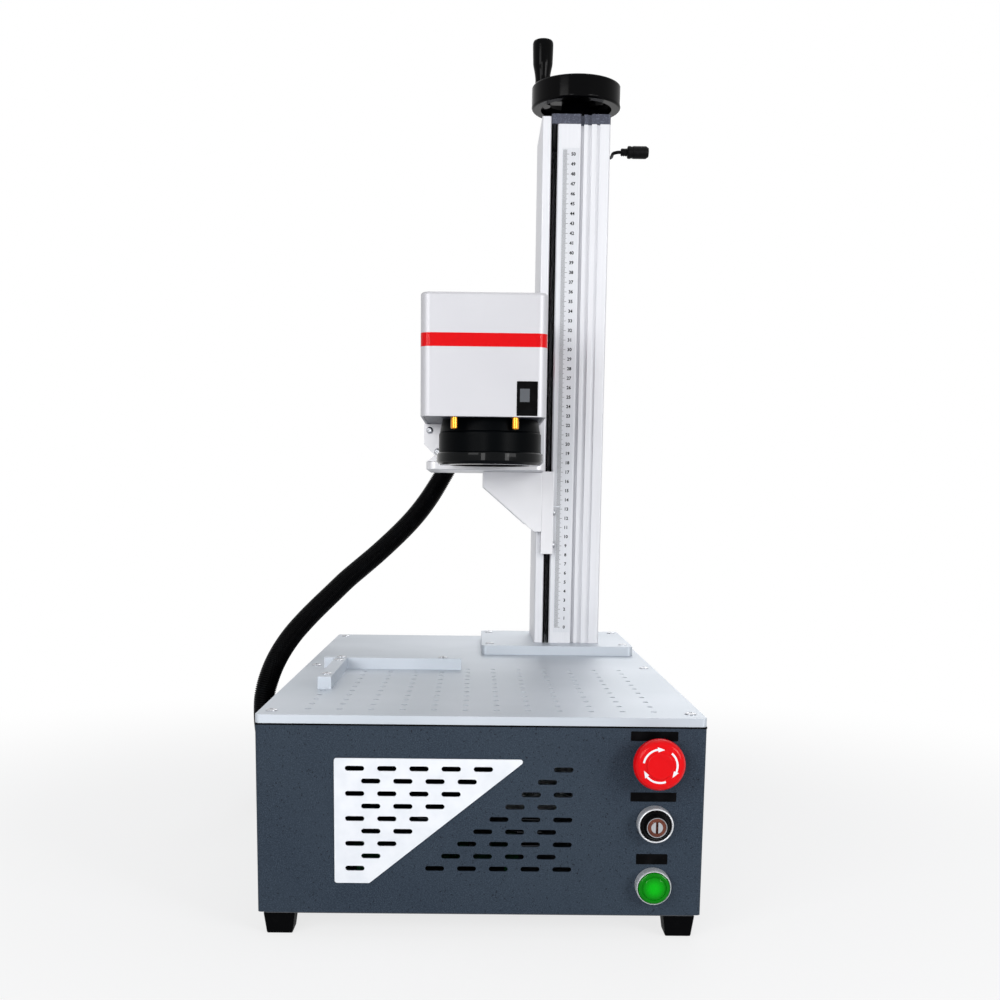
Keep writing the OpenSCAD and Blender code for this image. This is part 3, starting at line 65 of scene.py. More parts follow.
# Hose: black ribbed plastic conduit for the fibre and the wires from the cabinet to the head.
# It leaves the gland behind the head, hangs in one long curve past the plate's edge,
# and goes into the elbow low on the cabinet's left side.
class Wire:
    """One socket of a material's nodes. Sums on it add Math nodes."""

    def __init__(self, tree, socket=None):
        self.tree = tree
        self.socket = socket

    def node(self, kind, settings=None, values=None, output=0):
        """Adds a node: its settings are set first, then the values or links of its sockets."""
        made = self.tree.nodes.new(kind)
        for name, setting in (settings or {}).items():
            setattr(made, name, setting)
        for name, value in (values or {}).items():
            if isinstance(value, Wire):
                self.tree.links.new(value.socket, made.inputs[name])
            else:
                made.inputs[name].default_value = value
        return Wire(self.tree, made.outputs[output] if made.outputs else None)

    def math(self, operation, *values):
        return self.node("ShaderNodeMath", {"operation": operation}, dict(enumerate(values)))

    def __add__(self, other):
        return self.math("ADD", self, other)

    def __sub__(self, other):
        return self.math("SUBTRACT", self, other)

    def __rsub__(self, other):
        return self.math("SUBTRACT", other, self)

    def __mul__(self, other):
        return self.math("MULTIPLY", self, other)

    __radd__ = __add__
    __rmul__ = __mul__

    def step(self, low, high):
        """0 below low, 1 above high, and smooth between them."""
        ends = {0: self, 1: low, 2: high}
        return self.node("ShaderNodeMapRange", {"interpolation_type": "SMOOTHSTEP"}, ends)

    def mix(self, off, on):
        """The colour off where this is 0, and on where it is 1."""
        return self.node("ShaderNodeMix", {"data_type": "RGBA"}, {0: self, 6: off, 7: on}, output=2)

    def grain(self, scale, detail=2, stretch=(1, 1, 1)):
        """Noise over this place, with grains of about one scale-th of a metre."""
        place = self.node("ShaderNodeMapping", None, {"Vector": self, "Scale": stretch})
        return place.node("ShaderNodeTexNoise", None, {"Vector": place, "Scale": scale, "Detail": detail})

    def relief(self, depth):
        """A normal for this height, which is depth metres from 0 to 1."""
        return self.node("ShaderNodeBump", None, {"Height": self, "Distance": depth}, "Normal")

    def shade(self, values):
        """Sets or links sockets of the material's own shader."""
        shader = self.tree.nodes["Principled BSDF"]
        for name, value in values.items():
            if isinstance(value, Wire):
                self.tree.links.new(value.socket, shader.inputs[name])
            else:
                shader.inputs[name].default_value = value


def new_finish(name):
    """A material and the wire that carries the place on the machine, in metres."""
    packed = bpy.data.materials.get(name)
    if packed:
        packed.name = name + "_packed"
    material = bpy.data.materials.new(name)
    material.use_nodes = True
    return material, Wire(material.node_tree).node("ShaderNodeTexCoord", output="Object")


def screen(red, green, blue):
    """A colour as a screen shows it, from 0 to 255, in the shader's linear numbers."""
    shares = [channel / 255 for channel in (red, green, blue)]
    return [s / 12.92 if s <= 0.04045 else ((s + 0.055) / 1.055) ** 2.4 for s in shares] + [1]


def fit(piece, finish, body, *replaced):
    """Gives a piece its finish, sets it on a body, and hides the CAD nodes that it stands for."""
    piece.data.materials.clear()
    piece.data.materials.append(finish)
    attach(piece, body)
    if replaced:
        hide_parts(*replaced)
    return piece


def smooth_path(points, steps):
    """A smooth curve through given points."""
    points = [Vector(point) for point in points]
    points = [2 * points[0] - points[1], *points, 2 * points[-1] - points[-2]]
    path = []
    for a, b, c, d in zip(points, points[1:], points[2:], points[3:]):
        for k in range(steps):
            t = k / steps
            bent = 2 * a - 5 * b + 4 * c - d, 3 * b - a - 3 * c + d
            path.append(0.5 * (2 * b + (c - a) * t + bent[0] * t * t + bent[1] * t**3))
    return path + [points[-2]]


def path_lengths(path):
    """How far along the path each of its points lies."""
    lengths = [0]
    for a, b in zip(path, path[1:]):
        lengths.append(lengths[-1] + (b - a).length)
    return lengths


def sweep(name, path, stations, sides):
    """A closed tube along a path: stations are (distance along it, radius)."""
    lengths = path_lengths(path)
    side = Vector((0.3, 0.2, 1))
    vertices, at = [], 0
    for distance, radius in stations:
        while at < len(path) - 2 and lengths[at + 1] < distance:
            at += 1
        share = (distance - lengths[at]) / (lengths[at + 1] - lengths[at])
        centre = path[at].lerp(path[at + 1], share)
        before, after = path[max(at - 1, 0)], path[min(at + 2, len(path) - 1)]
        along = (path[at + 1] - before).lerp(after - path[at], share).normalized()
        side = (side - side.dot(along) * along).normalized()
        across = along.cross(side)
        for k in range(sides):
            turn = 2 * math.pi * k / sides
            vertices.append(centre + radius * (math.cos(turn) * side + math.sin(turn) * across))
    rings = len(stations)
    faces = [list(range(sides))[::-1], list(range((rings - 1) * sides, rings * sides))]
    for ring in range(rings - 1):
        for k in range(sides):
            a, b = ring * sides + k, ring * sides + (k + 1) % sides
            faces.append([a, b, b + sides, a + sides])
    mesh = bpy.data.meshes.new(name)
    mesh.from_pydata(vertices, [], faces)
    mesh.shade_smooth()
    piece = bpy.data.objects.new(name, mesh)
    bpy.context.scene.collection.objects.link(piece)
    return piece


hose_diameter = 0.023
hose_rib_depth = 0.0012
hose_ribs = 310
hose_end = 0.008
hose_sides = 24
hose_steps = 10
# Shares of one rib: where its wall stands, and how deep the valley is there
hose_rib_shares = [(0.05, 1), (0.17, 0.75), (0.3, 0.1), (0.55, 0), (0.8, 0.1), (0.93, 0.75)]
hose_route = [(-0.012, 0.213, 0.446), (-0.012, 0.223, 0.446), (-0.012, 0.233, 0.446),
    (-0.015, 0.257, 0.440), (-0.021, 0.278, 0.428), (-0.029, 0.293, 0.410), (-0.039, 0.302, 0.389),
    (-0.051, 0.304, 0.367), (-0.064, 0.300, 0.346), (-0.078, 0.292, 0.327), (-0.093, 0.281, 0.310),
    (-0.109, 0.270, 0.294), (-0.125, 0.258, 0.279), (-0.141, 0.245, 0.265), (-0.157, 0.232, 0.251),
    (-0.172, 0.218, 0.236), (-0.187, 0.204, 0.221), (-0.201, 0.189, 0.206), (-0.214, 0.174, 0.190),
    (-0.225, 0.159, 0.172), (-0.233, 0.146, 0.153), (-0.239, 0.138, 0.130), (-0.241, 0.140, 0.106),
    (-0.241, 0.149, 0.083), (-0.239, 0.164, 0.0635), (-0.235, 0.184, 0.0485), (-0.230, 0.207, 0.039),
    (-0.227, 0.231, 0.036), (-0.226, 0.241, 0.036), (-0.226, 0.251, 0.036), (-0.226, 0.261, 0.036)]

hose_plastic, place = new_finish("hose_plastic")
dust = place.grain(90).step(0.5, 0.75)
place.shade({
    "Base Color": dust.mix(screen(2, 2, 3), screen(6, 7, 9)),
    "Roughness": 0.3 + dust * 0.2,
    "Specular IOR Level": 0.035,
    "Normal": place.grain(1400).relief(0.00005),
})

hose_path = smooth_path(hose_route, hose_steps)
hose_length = path_lengths(hose_path)[-1]
rib_pitch = (hose_length - 2 * hose_end) / hose_ribs
hose_stations = [(0, hose_diameter / 2 - hose_rib_depth)]
for rib in range(hose_ribs):
    for share, depth_share in hose_rib_shares:
        rib_radius = hose_diameter / 2 - depth_share * hose_rib_depth
        hose_stations.append((hose_end + (rib + share) * rib_pitch, rib_radius))
hose_stations.append((hose_length, hose_diameter / 2 - hose_rib_depth))
hose = sweep("ribbed_hose", hose_path, hose_stations, hose_sides)
hose.data.materials.append(hose_plastic)
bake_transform(hose)
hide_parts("hose")


# Hose fittings: black moulded glands with a hexagon nut, one straight on the head
# and one bent through a right angle on the cabinet. Each has the soft edges of a moulding.
def only(piece):
    """Selects one piece and nothing else, as the operators need."""
    bpy.ops.object.select_all(action="DESELECT")
    piece.hide_viewport = False
    piece.select_set(True)
    bpy.context.view_layer.objects.active = piece
    return piece


def broken_edges(piece, width, segments=2, angle=35):
    """Rounds a piece's sharp edges, puts its place in its mesh, smooths curves and keeps flats flat."""
    only(piece)
    if width:
        edge = piece.modifiers.new("edge", "BEVEL")
        edge.width = width
        edge.segments = segments
        edge.limit_method = "ANGLE"
        edge.angle_limit = math.radians(angle)
        edge.miter_outer = "MITER_ARC"
        bpy.ops.object.modifier_apply(modifier=edge.name)
    bpy.ops.object.transform_apply(location=True, rotation=True, scale=True)
    bpy.ops.object.shade_smooth_by_angle(angle=math.radians(angle))
    flat = piece.modifiers.new("flat", "WEIGHTED_NORMAL")
    flat.keep_sharp = True
    bpy.ops.object.modifier_apply(modifier=flat.name)
    return piece


def copy_of(node, name):
    """A merged copy of a CAD node's mesh, with each flat face in one piece."""
    piece = bpy.data.objects.new(name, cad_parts[node].data.copy())
    bpy.context.scene.collection.objects.link(piece)
    only(piece)
    bpy.ops.object.mode_set(mode="EDIT")
    bpy.ops.mesh.select_all(action="SELECT")
    bpy.ops.mesh.customdata_custom_splitnormals_clear()
    bpy.ops.mesh.remove_doubles(threshold=0.000002)
    bpy.ops.mesh.dissolve_limited(angle_limit=math.radians(0.5))
    bpy.ops.object.mode_set(mode="OBJECT")
    return piece


def edged(node, name, width, segments=2):
    """The CAD node's own shape with its sharp edges rounded."""
    return broken_edges(copy_of(node, name), width, segments)


black_plastic, place = new_finish("black_plastic")
scuff = place.grain(120, 4).step(0.45, 0.8)
place.shade({
    "Base Color": scuff.mix(screen(4, 4, 5), screen(12, 12, 14)),
    "Roughness": 0.3 + scuff * 0.18,
    "Specular IOR Level": 0.05,
    "Normal": place.grain(2200).relief(0.00003),
})
gland = fit(edged("hose_gland", "head_gland", 0.0007), hose_plastic, "carriage", "hose_gland")
elbow = fit(edged("hose_elbow", "side_elbow", 0.0007), hose_plastic, "root", "hose_elbow")


# Limit lead: a short black cable that comes out of the column's right side near its top
# and ends in a plug. The plug is turned: a grooved boot, then a body with a chamfered nose.
def turned(name, profile, centre, forward=(0, 0, 1), segments=96, ring=False):
    """A turned piece: a disc drawn out along (radius, height) steps, then set to face forward.
    The steps of a ring end where they start, and its two discs are taken out."""
    (radius, height), *steps = profile
    bpy.ops.object.select_all(action="DESELECT")
    bpy.ops.mesh.primitive_circle_add(vertices=segments, radius=radius, fill_type="NGON",
        location=(0, 0, height))
    piece = bpy.context.object
    piece.name = name
    bpy.ops.object.mode_set(mode="EDIT")
    bpy.ops.mesh.select_all(action="SELECT")
    for wider, higher in steps:
        bpy.ops.mesh.extrude_region_move(TRANSFORM_OT_translate={"value": (0, 0, higher - height)})
        bpy.ops.transform.resize(value=(wider / radius, wider / radius, 1),
            center_override=(0, 0, higher))
        radius, height = wider, higher
    if ring:
        bpy.ops.mesh.select_face_by_sides(number=4, type="GREATER", extend=False)
        bpy.ops.mesh.delete(type="FACE")
    bpy.ops.mesh.select_all(action="SELECT")
    bpy.ops.mesh.remove_doubles(threshold=0.000001)
    bpy.ops.mesh.normals_make_consistent(inside=False)
    bpy.ops.object.mode_set(mode="OBJECT")
    bpy.ops.object.transform_apply(location=True, rotation=True, scale=True)
    turn = Vector(forward).to_track_quat("Z", "Y").to_matrix().to_4x4()
    piece.matrix_world = Matrix.Translation(Vector(centre)) @ turn
    return piece


lead_route = [(0.1315, 0.211, 0.719), (0.1345, 0.211, 0.719), (0.137, 0.210, 0.719),
    (0.1385, 0.208, 0.719), (0.139, 0.205, 0.719), (0.139, 0.200, 0.719), (0.139, 0.195, 0.719),
    (0.1395, 0.192, 0.719), (0.141, 0.1895, 0.719), (0.1435, 0.1875, 0.719), (0.1455, 0.187, 0.719),
    (0.147, 0.187, 0.719)]
lead_diameter = 0.0035
lead_rings = 40
lead_sides = 20
lead_steps = 6
plug_boot = 0.00425
plug_body = 0.0065
plug_grooves = 3
groove_pitch = 0.002

cable_plastic, place = new_finish("cable_plastic")
place.shade({
    "Base Color": place.grain(300).step(0.3, 0.8).mix(screen(6, 6, 7), screen(14, 14, 16)),
    "Roughness": 0.42,
    "Specular IOR Level": 0.08,
    "Normal": place.grain(2600).relief(0.00003),
})
lead_path = smooth_path(lead_route, lead_steps)
lead_length = path_lengths(lead_path)[-1]
lead_stations = [(lead_length * k / lead_rings, lead_diameter / 2) for k in range(lead_rings + 1)]
lead = sweep("limit_lead", lead_path, lead_stations, lead_sides)
fit(lead, cable_plastic, "root", "lift_lead")

plug_profile = [(plug_boot * 0.8, 0)]
for groove in range(plug_grooves):
    start = groove * groove_pitch
    plug_profile += [(plug_boot * 0.88, start + 0.0008), (plug_boot, start + 0.0014),
        (plug_boot * 0.86, start + 0.0018)]
plug_profile += [(plug_boot, 0.007), (plug_body * 0.9, 0.0072), (plug_body, 0.008), (plug_body, 0.0105),
    (plug_body * 0.93, 0.0108), (plug_body * 0.93, 0.0128), (plug_body, 0.0131), (plug_body, 0.027),
    (plug_body * 0.72, 0.030), (plug_body * 0.6, 0.030), (plug_body * 0.6, 0.027)]
plug = turned("limit_plug", plug_profile, lead_route[-1], forward=(1, 0, 0), segments=48)
plug = fit(broken_edges(plug, 0.0002), cable_plastic, "root", "lift_plug")


# Studio: a pale floor and a plain white surround. Both look white to the camera, to gloss and
# through glass, while they light the machine at a plain level. The floor keeps its shadow.
def looked_at(wire):
    """1 on rays from the camera, from gloss and through glass, and 0 on rays that carry light."""
    camera_ray, gloss_ray, glass_ray = [wire.node("ShaderNodeLightPath", output=name)
        for name in ("Is Camera Ray", "Is Glossy Ray", "Is Transmission Ray")]
    return camera_ray.math("MAXIMUM", camera_ray, gloss_ray.math("MAXIMUM", gloss_ray, glass_ray))


surround_light = 0.3
floor_size = 14
floor_drop = 0.0002
# How white the floor looks near the machine, and between which distances that rises to 1
floor_share = 0.76
floor_clear = 0.35
floor_white = 1.1

bpy.context.scene.view_settings.view_transform = "Standard"
world = bpy.data.worlds.new("studio")
world.use_nodes = True
bpy.context.scene.world = world
world.node_tree.nodes.clear()
sky = Wire(world.node_tree)
level = surround_light + looked_at(sky) * (1 - surround_light)
backdrop = sky.node("ShaderNodeBackground", None, {"Color": (1, 1, 1, 1), "Strength": level})
sky.node("ShaderNodeOutputWorld", None, {"Surface": backdrop})

bpy.ops.object.select_all(action="DESELECT")
bpy.ops.mesh.primitive_plane_add(size=floor_size, location=(0, 0, -floor_drop))
floor = bpy.context.object
floor.name = "floor"
bpy.ops.object.transform_apply(location=True, rotation=True, scale=True)
pale, place = new_finish("floor")
seen = looked_at(place)
reach = place.node("ShaderNodeVectorMath", {"operation": "LENGTH"}, {0: place}, output="Value")
white_share = floor_share + reach.step(floor_clear, floor_white) * (1 - floor_share)
plain = place.node("ShaderNodeBsdfDiffuse", None, {"Color": screen(236, 237, 240)})
bright = place.node("ShaderNodeEmission", None, {"Color": (1, 1, 1, 1), "Strength": 1})
covered = place.node("ShaderNodeMixShader", None, {0: seen * white_share, 1: plain, 2: bright})
place.tree.links.new(covered.socket, place.tree.nodes["Material Output"].inputs["Surface"])
floor.data.materials.append(pale)

# Lamps: soft ones in front, above and behind, all aimed at the machine's middle.
# Two narrow upright panes show as stripes in gloss black and red.
aim = Vector((0, 0, 0.4))
# Name, place, width, height and power of each
lamps = [
    ("lamp_left", (-1.6, -2.2, 1.1), 1.1, 1.1, 23),
    ("lamp_right", (1.8, -1.7, 0.9), 0.9, 0.9, 15),
    ("lamp_top", (0.1, 0.1, 2.4), 1.4, 1.4, 5),
    ("lamp_back", (0.6, 2.2, 1.6), 1.4, 1.4, 12),
    ("pane_left", (-0.6, -2.3, 0.65), 0.36, 0.9, 11),
    ("pane_right", (1.4, -1.9, 0.65), 0.36, 0.9, 11),
]
for name, spot, width, height, power in lamps:
    lamp = bpy.data.lights.new(name, "AREA")
    lamp.shape = "RECTANGLE"
    lamp.size = width
    lamp.size_y = height
    lamp.energy = power
    stand = bpy.data.objects.new(name, lamp)
    stand.location = spot
    stand.rotation_euler = (aim - Vector(spot)).to_track_quat("-Z", "Y").to_euler()
    bpy.context.scene.collection.objects.link(stand)

# Cabinet: folded sheet steel in slate grey powder coat, a tray below and a panel behind.
# The coat has a fine orange-peel texture with small dark specks and small paler flecks.
cabinet_paint, place = new_finish("cabinet_paint")
peel = place.grain(900, 3)
speck = place.grain(620, 2).step(0.64, 0.72)
fleck = place.grain(1250, 1).step(0.42, 0.72)
cloud = place.grain(9, 2).step(0.3, 0.7)
coat = cloud.mix(screen(36, 46, 58), screen(43, 53, 64))
coat = fleck.mix(coat, screen(56, 67, 80))
place.shade({
    "Base Color": speck.mix(coat, screen(22, 28, 37)),
    "Roughness": 0.46 + peel * 0.16,
    "Specular IOR Level": 0.12,
    "Normal": (peel + place.grain(2600, 1) * 0.4).relief(0.00012),
})
fit(edged("cabinet_wrap", "cabinet_shell", 0.0004), cabinet_paint, "root", "cabinet_wrap")
fit(edged("rear_panel", "cabinet_back", 0.0004), cabinet_paint, "root", "rear_panel")

dark_steel, place = new_finish("dark_steel")
mill = place.grain(40, 4, stretch=(1, 12, 1))
place.shade({
    "Base Color": mill.mix(screen(66, 69, 74), screen(90, 93, 98)),
    "Metallic": 0.6,
    "Roughness": 0.45 + mill * 0.2,
    "Normal": mill.relief(0.00004),
})
fit(edged("base_tray", "cabinet_floor", 0.0004), dark_steel, "root", "base_tray")

# Vent plate: a white painted sheet with slanted end, glued over the left half of the slots.
# Its slots were punched together with the cabinet's, and their rims are left bright.
white_paint, place = new_finish("white_paint")
mist = place.grain(60, 3).step(0.35, 0.75)
place.shade({
    "Base Color": mist.mix(screen(226, 229, 234), screen(217, 221, 227)),
    "Roughness": 0.34 + mist * 0.14,
    "Specular IOR Level": 0.4,
    "Normal": place.grain(700, 2).relief(0.00002),
})
fit(edged("vent_plate", "vent_sheet", 0.00025), white_paint, "root", "vent_plate")

# Feet: four tapered blocks of moulded black rubber under the corners.
# Their edges are soft, and dust sits in the grain of the moulding.
black_rubber, place = new_finish("black_rubber")
dust = place.grain(160, 4).step(0.55, 0.85)
place.shade({
    "Base Color": dust.mix(screen(3, 3, 4), screen(9, 9, 10)),
    "Roughness": 0.55 + dust * 0.2,
    "Specular IOR Level": 0.03,
    "Normal": place.grain(1500, 2).relief(0.00006),
})
fit(edged("feet", "rubber_feet", 0.0012, 3), black_rubber, "root", "feet")

# Work plate: 8 mm aluminium plate, bead-blasted and clear anodised, with M6 holes on a 25 mm grid.
# The edges and the holes are chamfered. The two square bars laid as an L are stops for the work.
anodised_plate, place = new_finish("anodised_plate")
blast = place.grain(1600, 2)
haze = place.grain(7, 3).step(0.3, 0.7)
place.shade({
    "Base Color": haze.mix(screen(178, 185, 193), screen(188, 194, 202)),
    "Metallic": 0.55,
    "Roughness": 0.4 + blast * 0.14,
    "Normal": blast.relief(0.00003),
})
for node, name, width in (("deck_plate", "work_plate", 0.0005), ("stop_bar_cross", "cross_bar", 0.0004),
        ("stop_bar_side", "side_bar", 0.0004), ("column_flange", "column_foot", 0.0007)):
    fit(edged(node, name, width), anodised_plate, "root", node)
fit(edged("carriage_core", "carriage_block", 0.0006), anodised_plate, "carriage", "carriage_core")


# Painted shadow: a thin black strip round the bottom of the work plate's edge, standing in for the shadow gap
# between the plate and the cabinet.
# Only its edge shows, as a dark line below the plate.
def hoop(name, low, high, radius, proud):
    """A thin upright band with round corners, that stands proud of the box from low to high."""
    low, high = Vector(low), Vector(high)
    bpy.ops.object.select_all(action="DESELECT")
    bpy.ops.mesh.primitive_plane_add(size=1, location=((low.x + high.x) / 2, (low.y + high.y) / 2, low.z))
    piece = bpy.context.object
    piece.name = name
    piece.scale = (high.x - low.x + 2 * proud, high.y - low.y + 2 * proud, 1)
    bpy.ops.object.transform_apply(location=True, rotation=True, scale=True)
    bpy.ops.object.mode_set(mode="EDIT")
    bpy.ops.mesh.select_all(action="SELECT")
    bpy.ops.mesh.bevel(offset=radius + proud, segments=12, affect="VERTICES")
    bpy.ops.mesh.select_all(action="SELECT")
    bpy.ops.mesh.delete(type="ONLY_FACE")
    bpy.ops.mesh.select_all(action="SELECT")
    bpy.ops.mesh.extrude_region_move(TRANSFORM_OT_translate={"value": (0, 0, high.z - low.z)})
    bpy.ops.mesh.select_all(action="SELECT")
    bpy.ops.mesh.normals_make_consistent(inside=False)
    bpy.ops.object.mode_set(mode="OBJECT")
    wall = piece.modifiers.new("wall", "SOLIDIFY")
    wall.thickness = 2 * proud
    wall.offset = -1
    bpy.ops.object.modifier_apply(modifier=wall.name)
    return broken_edges(piece, 0)


shadow_strip_thick = 0.0013
shadow_strip_proud = 0.00015
shadow_strip_corner = 0.0015
low, high = (Vector(corner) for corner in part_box("deck_plate"))
# The black strip is painted shadow: a dark line where the plate meets the cabinet.
shadow_strip = hoop("plate_shadow_strip", low, (high.x, high.y, low.z + shadow_strip_thick), shadow_strip_corner, shadow_strip_proud)
fit(shadow_strip, black_rubber, "root")

# Screws: bright steel button heads with a hexagon socket, almost sunk in the plate, the bars, the column
# foot and the head's carrier plates. They are turned and polished, with fine lines round them.
bright_steel, place = new_finish("bright_steel")
ground = place.grain(900, 3, stretch=(1, 1, 0.04))
place.shade({
    "Base Color": ground.mix(screen(168, 170, 175), screen(190, 192, 196)),
    "Metallic": 1.0,
    "Roughness": 0.2 + ground * 0.16,
    "Normal": ground.relief(0.00001),
})
for node, name, body in (("deck_screws", "plate_screws", "root"), ("flange_screws", "foot_screws", "root"),
        ("bracket_screws", "head_screws", "carriage")):
    fit(edged(node, name, 0.0002), bright_steel, body, node)


# Emergency stop: a glossy red mushroom moulding on a black plastic collar. It is pushed in and twisted free.
# Three white arrows are printed round a low centre disc.
def split_middle(node):
    """The middle of a node's box, and its lowest and highest corner."""
    low, high = (Vector(corner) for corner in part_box(node))
    return (low + high) / 2, low, high


def flat_shape(name, outlines, depth, centre, forward=(0, -1, 0), up=(0, 0, 1)):
    """Thin pieces cut to flat outlines, half sunk in the face that they lie on."""
    curve = bpy.data.curves.new(name, "CURVE")
    curve.dimensions = "2D"
    curve.fill_mode = "BOTH"
    curve.extrude = depth
    for outline in outlines:
        spline = curve.splines.new("POLY")
        spline.points.add(len(outline) - 1)
        for point, (x, y) in zip(spline.points, outline):
            point.co = (x, y, 0, 1)
        spline.use_cyclic_u = True
    piece = bpy.data.objects.new(name, curve)
    bpy.context.scene.collection.objects.link(piece)
    only(piece)
    bpy.ops.object.convert(target="MESH")
    bpy.ops.object.mode_set(mode="EDIT")
    bpy.ops.mesh.select_all(action="SELECT")
    bpy.ops.mesh.remove_doubles(threshold=0.000001)
    bpy.ops.mesh.normals_make_consistent(inside=False)
    bpy.ops.object.mode_set(mode="OBJECT")
    forward, up = Vector(forward), Vector(up)
    turn = Matrix((up.cross(forward), up, forward)).transposed().to_4x4()
    piece.matrix_world = Matrix.Translation(Vector(centre)) @ turn
    bpy.ops.object.transform_apply(location=True, rotation=True, scale=True)
    return piece


def arc(radius, first, last, steps):
    """Points on a circle between two angles in degrees."""
    angles = [math.radians(first + (last - first) * k / steps) for k in range(steps + 1)]
    return [(radius * math.cos(angle), radius * math.sin(angle)) for angle in angles]


button_radius = 0.020
button_face = 0.0133
arrow_tails = (170, 50, -70)
arrow_sweep = 70
arrow_head = 24
arrow_inner, arrow_outer = 0.0122, 0.0137
arrow_wide = 0.0012
arrow_steps = 14
print_depth = 0.00012

red_plastic, place = new_finish("red_plastic")
scuff = place.grain(150, 4).step(0.5, 0.85)
place.shade({
    "Base Color": scuff.mix(screen(214, 3, 12), screen(202, 5, 14)),
    "Roughness": 0.12 + scuff * 0.1,
    "Specular IOR Level": 0.13,
    "Normal": place.grain(500, 1).relief(0.00002),
})
middle, low, high = split_middle("estop_button")
button_profile = [(0.0150, 0), (0.0163, 0.0003), (0.0184, 0.0013), (0.0196, 0.0031),
    (button_radius, 0.0050), (button_radius, 0.0078), (0.0196, 0.0101), (0.0185, 0.0119), (0.0170, 0.0130),
    (0.0155, button_face), (0.0107, button_face), (0.0105, 0.0135), (0.0102, 0.0141), (0.0096, 0.0145)]
button = turned("stop_mushroom", button_profile, (middle.x, high.y, middle.z), forward=(0, -1, 0))
fit(broken_edges(button, 0), red_plastic, "stop_button", "estop_button")
arrows = []
for tail in arrow_tails:
    neck = tail - arrow_sweep
    outer_barb = arc(arrow_outer + arrow_wide, neck, neck, 1)[:1]
    inner_barb = arc(arrow_inner - arrow_wide, neck, neck, 1)[:1]
    tip = arc((arrow_inner + arrow_outer) / 2, neck - arrow_head, neck, 1)[:1]
    arrows.append(arc(arrow_outer, tail, neck, arrow_steps) + outer_barb + tip + inner_barb
        + arc(arrow_inner, neck, tail, arrow_steps))
face = (middle.x, high.y - button_face, middle.z)
fit(flat_shape("stop_arrows", arrows, print_depth, face), white_paint, "stop_button")
for node, name, body in (("estop_collar", "stop_collar", "root"),
        ("estop_plunger", "stop_stem", "stop_plunger"), ("switch_backs", "contact_blocks", "root")):
    fit(edged(node, name, 0.0004), black_plastic, body, node)


# Key switch: a chromed bezel round a black tapered nose, and a lock barrel that turns in the nose.
# The barrel's face is copper-coloured with a steel rim, and its steel core is parted by the keyway.
def axis_reach(place, centre):
    """How far a place lies from the line through centre that runs front to back."""
    flat = place.node("ShaderNodeVectorMath", {"operation": "SUBTRACT"}, {0: place, 1: centre})
    flat = flat.node("ShaderNodeVectorMath", {"operation": "MULTIPLY"}, {0: flat, 1: (1, 0, 1)})
    return flat.node("ShaderNodeVectorMath", {"operation": "LENGTH"}, {0: flat}, output="Value")


key_face = 0.0155
core_radius = 0.0045
keyway_angle = 12
core_depth = 0.0003
# Turns of the tool per metre of the lock's face, in radians
lathe_pitch = 9000

chrome, place = new_finish("chrome")
smear = place.grain(90, 3).step(0.45, 0.8)
place.shade({
    "Base Color": smear.mix(screen(226, 228, 232), screen(206, 209, 214)),
    "Metallic": 0.45,
    "Roughness": 0.26 + smear * 0.14,
})
middle = split_middle("key_bezel")[0]
front_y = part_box("cabinet_wrap")[0][1]
key_place = Vector((middle.x, front_y, middle.z))
bezel_profile = [(0.01225, 0), (0.0136, 0), (0.0140, 0.0004), (0.0140, 0.0080), (0.0139, 0.0091),
    (0.0137, 0.0099), (0.0133, 0.0104), (0.0129, 0.0105), (0.0125, 0.0103), (0.0123, 0.0098),
    (0.01225, 0.0090), (0.01225, 0)]
bezel = turned("key_surround", bezel_profile, key_place, forward=(0, -1, 0), ring=True)
fit(broken_edges(bezel, 0), chrome, "root", "key_bezel")
nose_profile = [(0.0083, 0.0085), (0.01215, 0.0085), (0.01215, 0.0096), (0.0118, 0.0101), (0.0112, 0.0104),
    (0.0108, 0.0110), (0.0098, 0.0132), (0.0092, 0.0145), (0.0088, 0.0150), (0.0083, 0.0150),
    (0.0083, 0.0085)]
nose = turned("key_nose", nose_profile, key_place, forward=(0, -1, 0), ring=True)
fit(broken_edges(nose, 0), black_plastic, "root")

copper_lock, place = new_finish("copper_lock")
lathe = axis_reach(place, key_place) * lathe_pitch
lathe_lines = lathe.math("SINE", lathe) * 0.5 + 0.5
stain = place.grain(260, 3).step(0.4, 0.8)
place.shade({
    "Base Color": stain.mix(screen(112, 66, 54), screen(74, 42, 36)),
    "Metallic": 0.9,
    "Roughness": 0.24 + lathe_lines * 0.1,
    "Normal": lathe_lines.relief(0.00002),
})
fit(edged("key_barrel", "key_lock", 0.0003), copper_lock, "key", "key_barrel")
rim_profile = [(0.0071, key_face - 0.0004), (0.0080, key_face - 0.0004), (0.0080, key_face),
    (0.0078, key_face + 0.0004), (0.0074, key_face + 0.0004), (0.0071, key_face), (0.0071, key_face - 0.0004)]
lock_rim = turned("lock_rim", rim_profile, key_place, forward=(0, -1, 0), ring=True)
fit(broken_edges(lock_rim, 0), bright_steel, "key")
core = [arc(core_radius, first + keyway_angle, first + 180 - keyway_angle, 18) for first in (-90, 90)]
core = flat_shape("lock_core", core, core_depth, key_place + Vector((0, -key_face, 0)))
fit(broken_edges(core, 0.0001), bright_steel, "key")

# Lamp button: a chromed bezel round a clear green lens with a ring groove. The lens is pushed in.
# Its middle is painted a paler green, a painted glow.
glow_inner, glow_outer = 0.0015, 0.0105

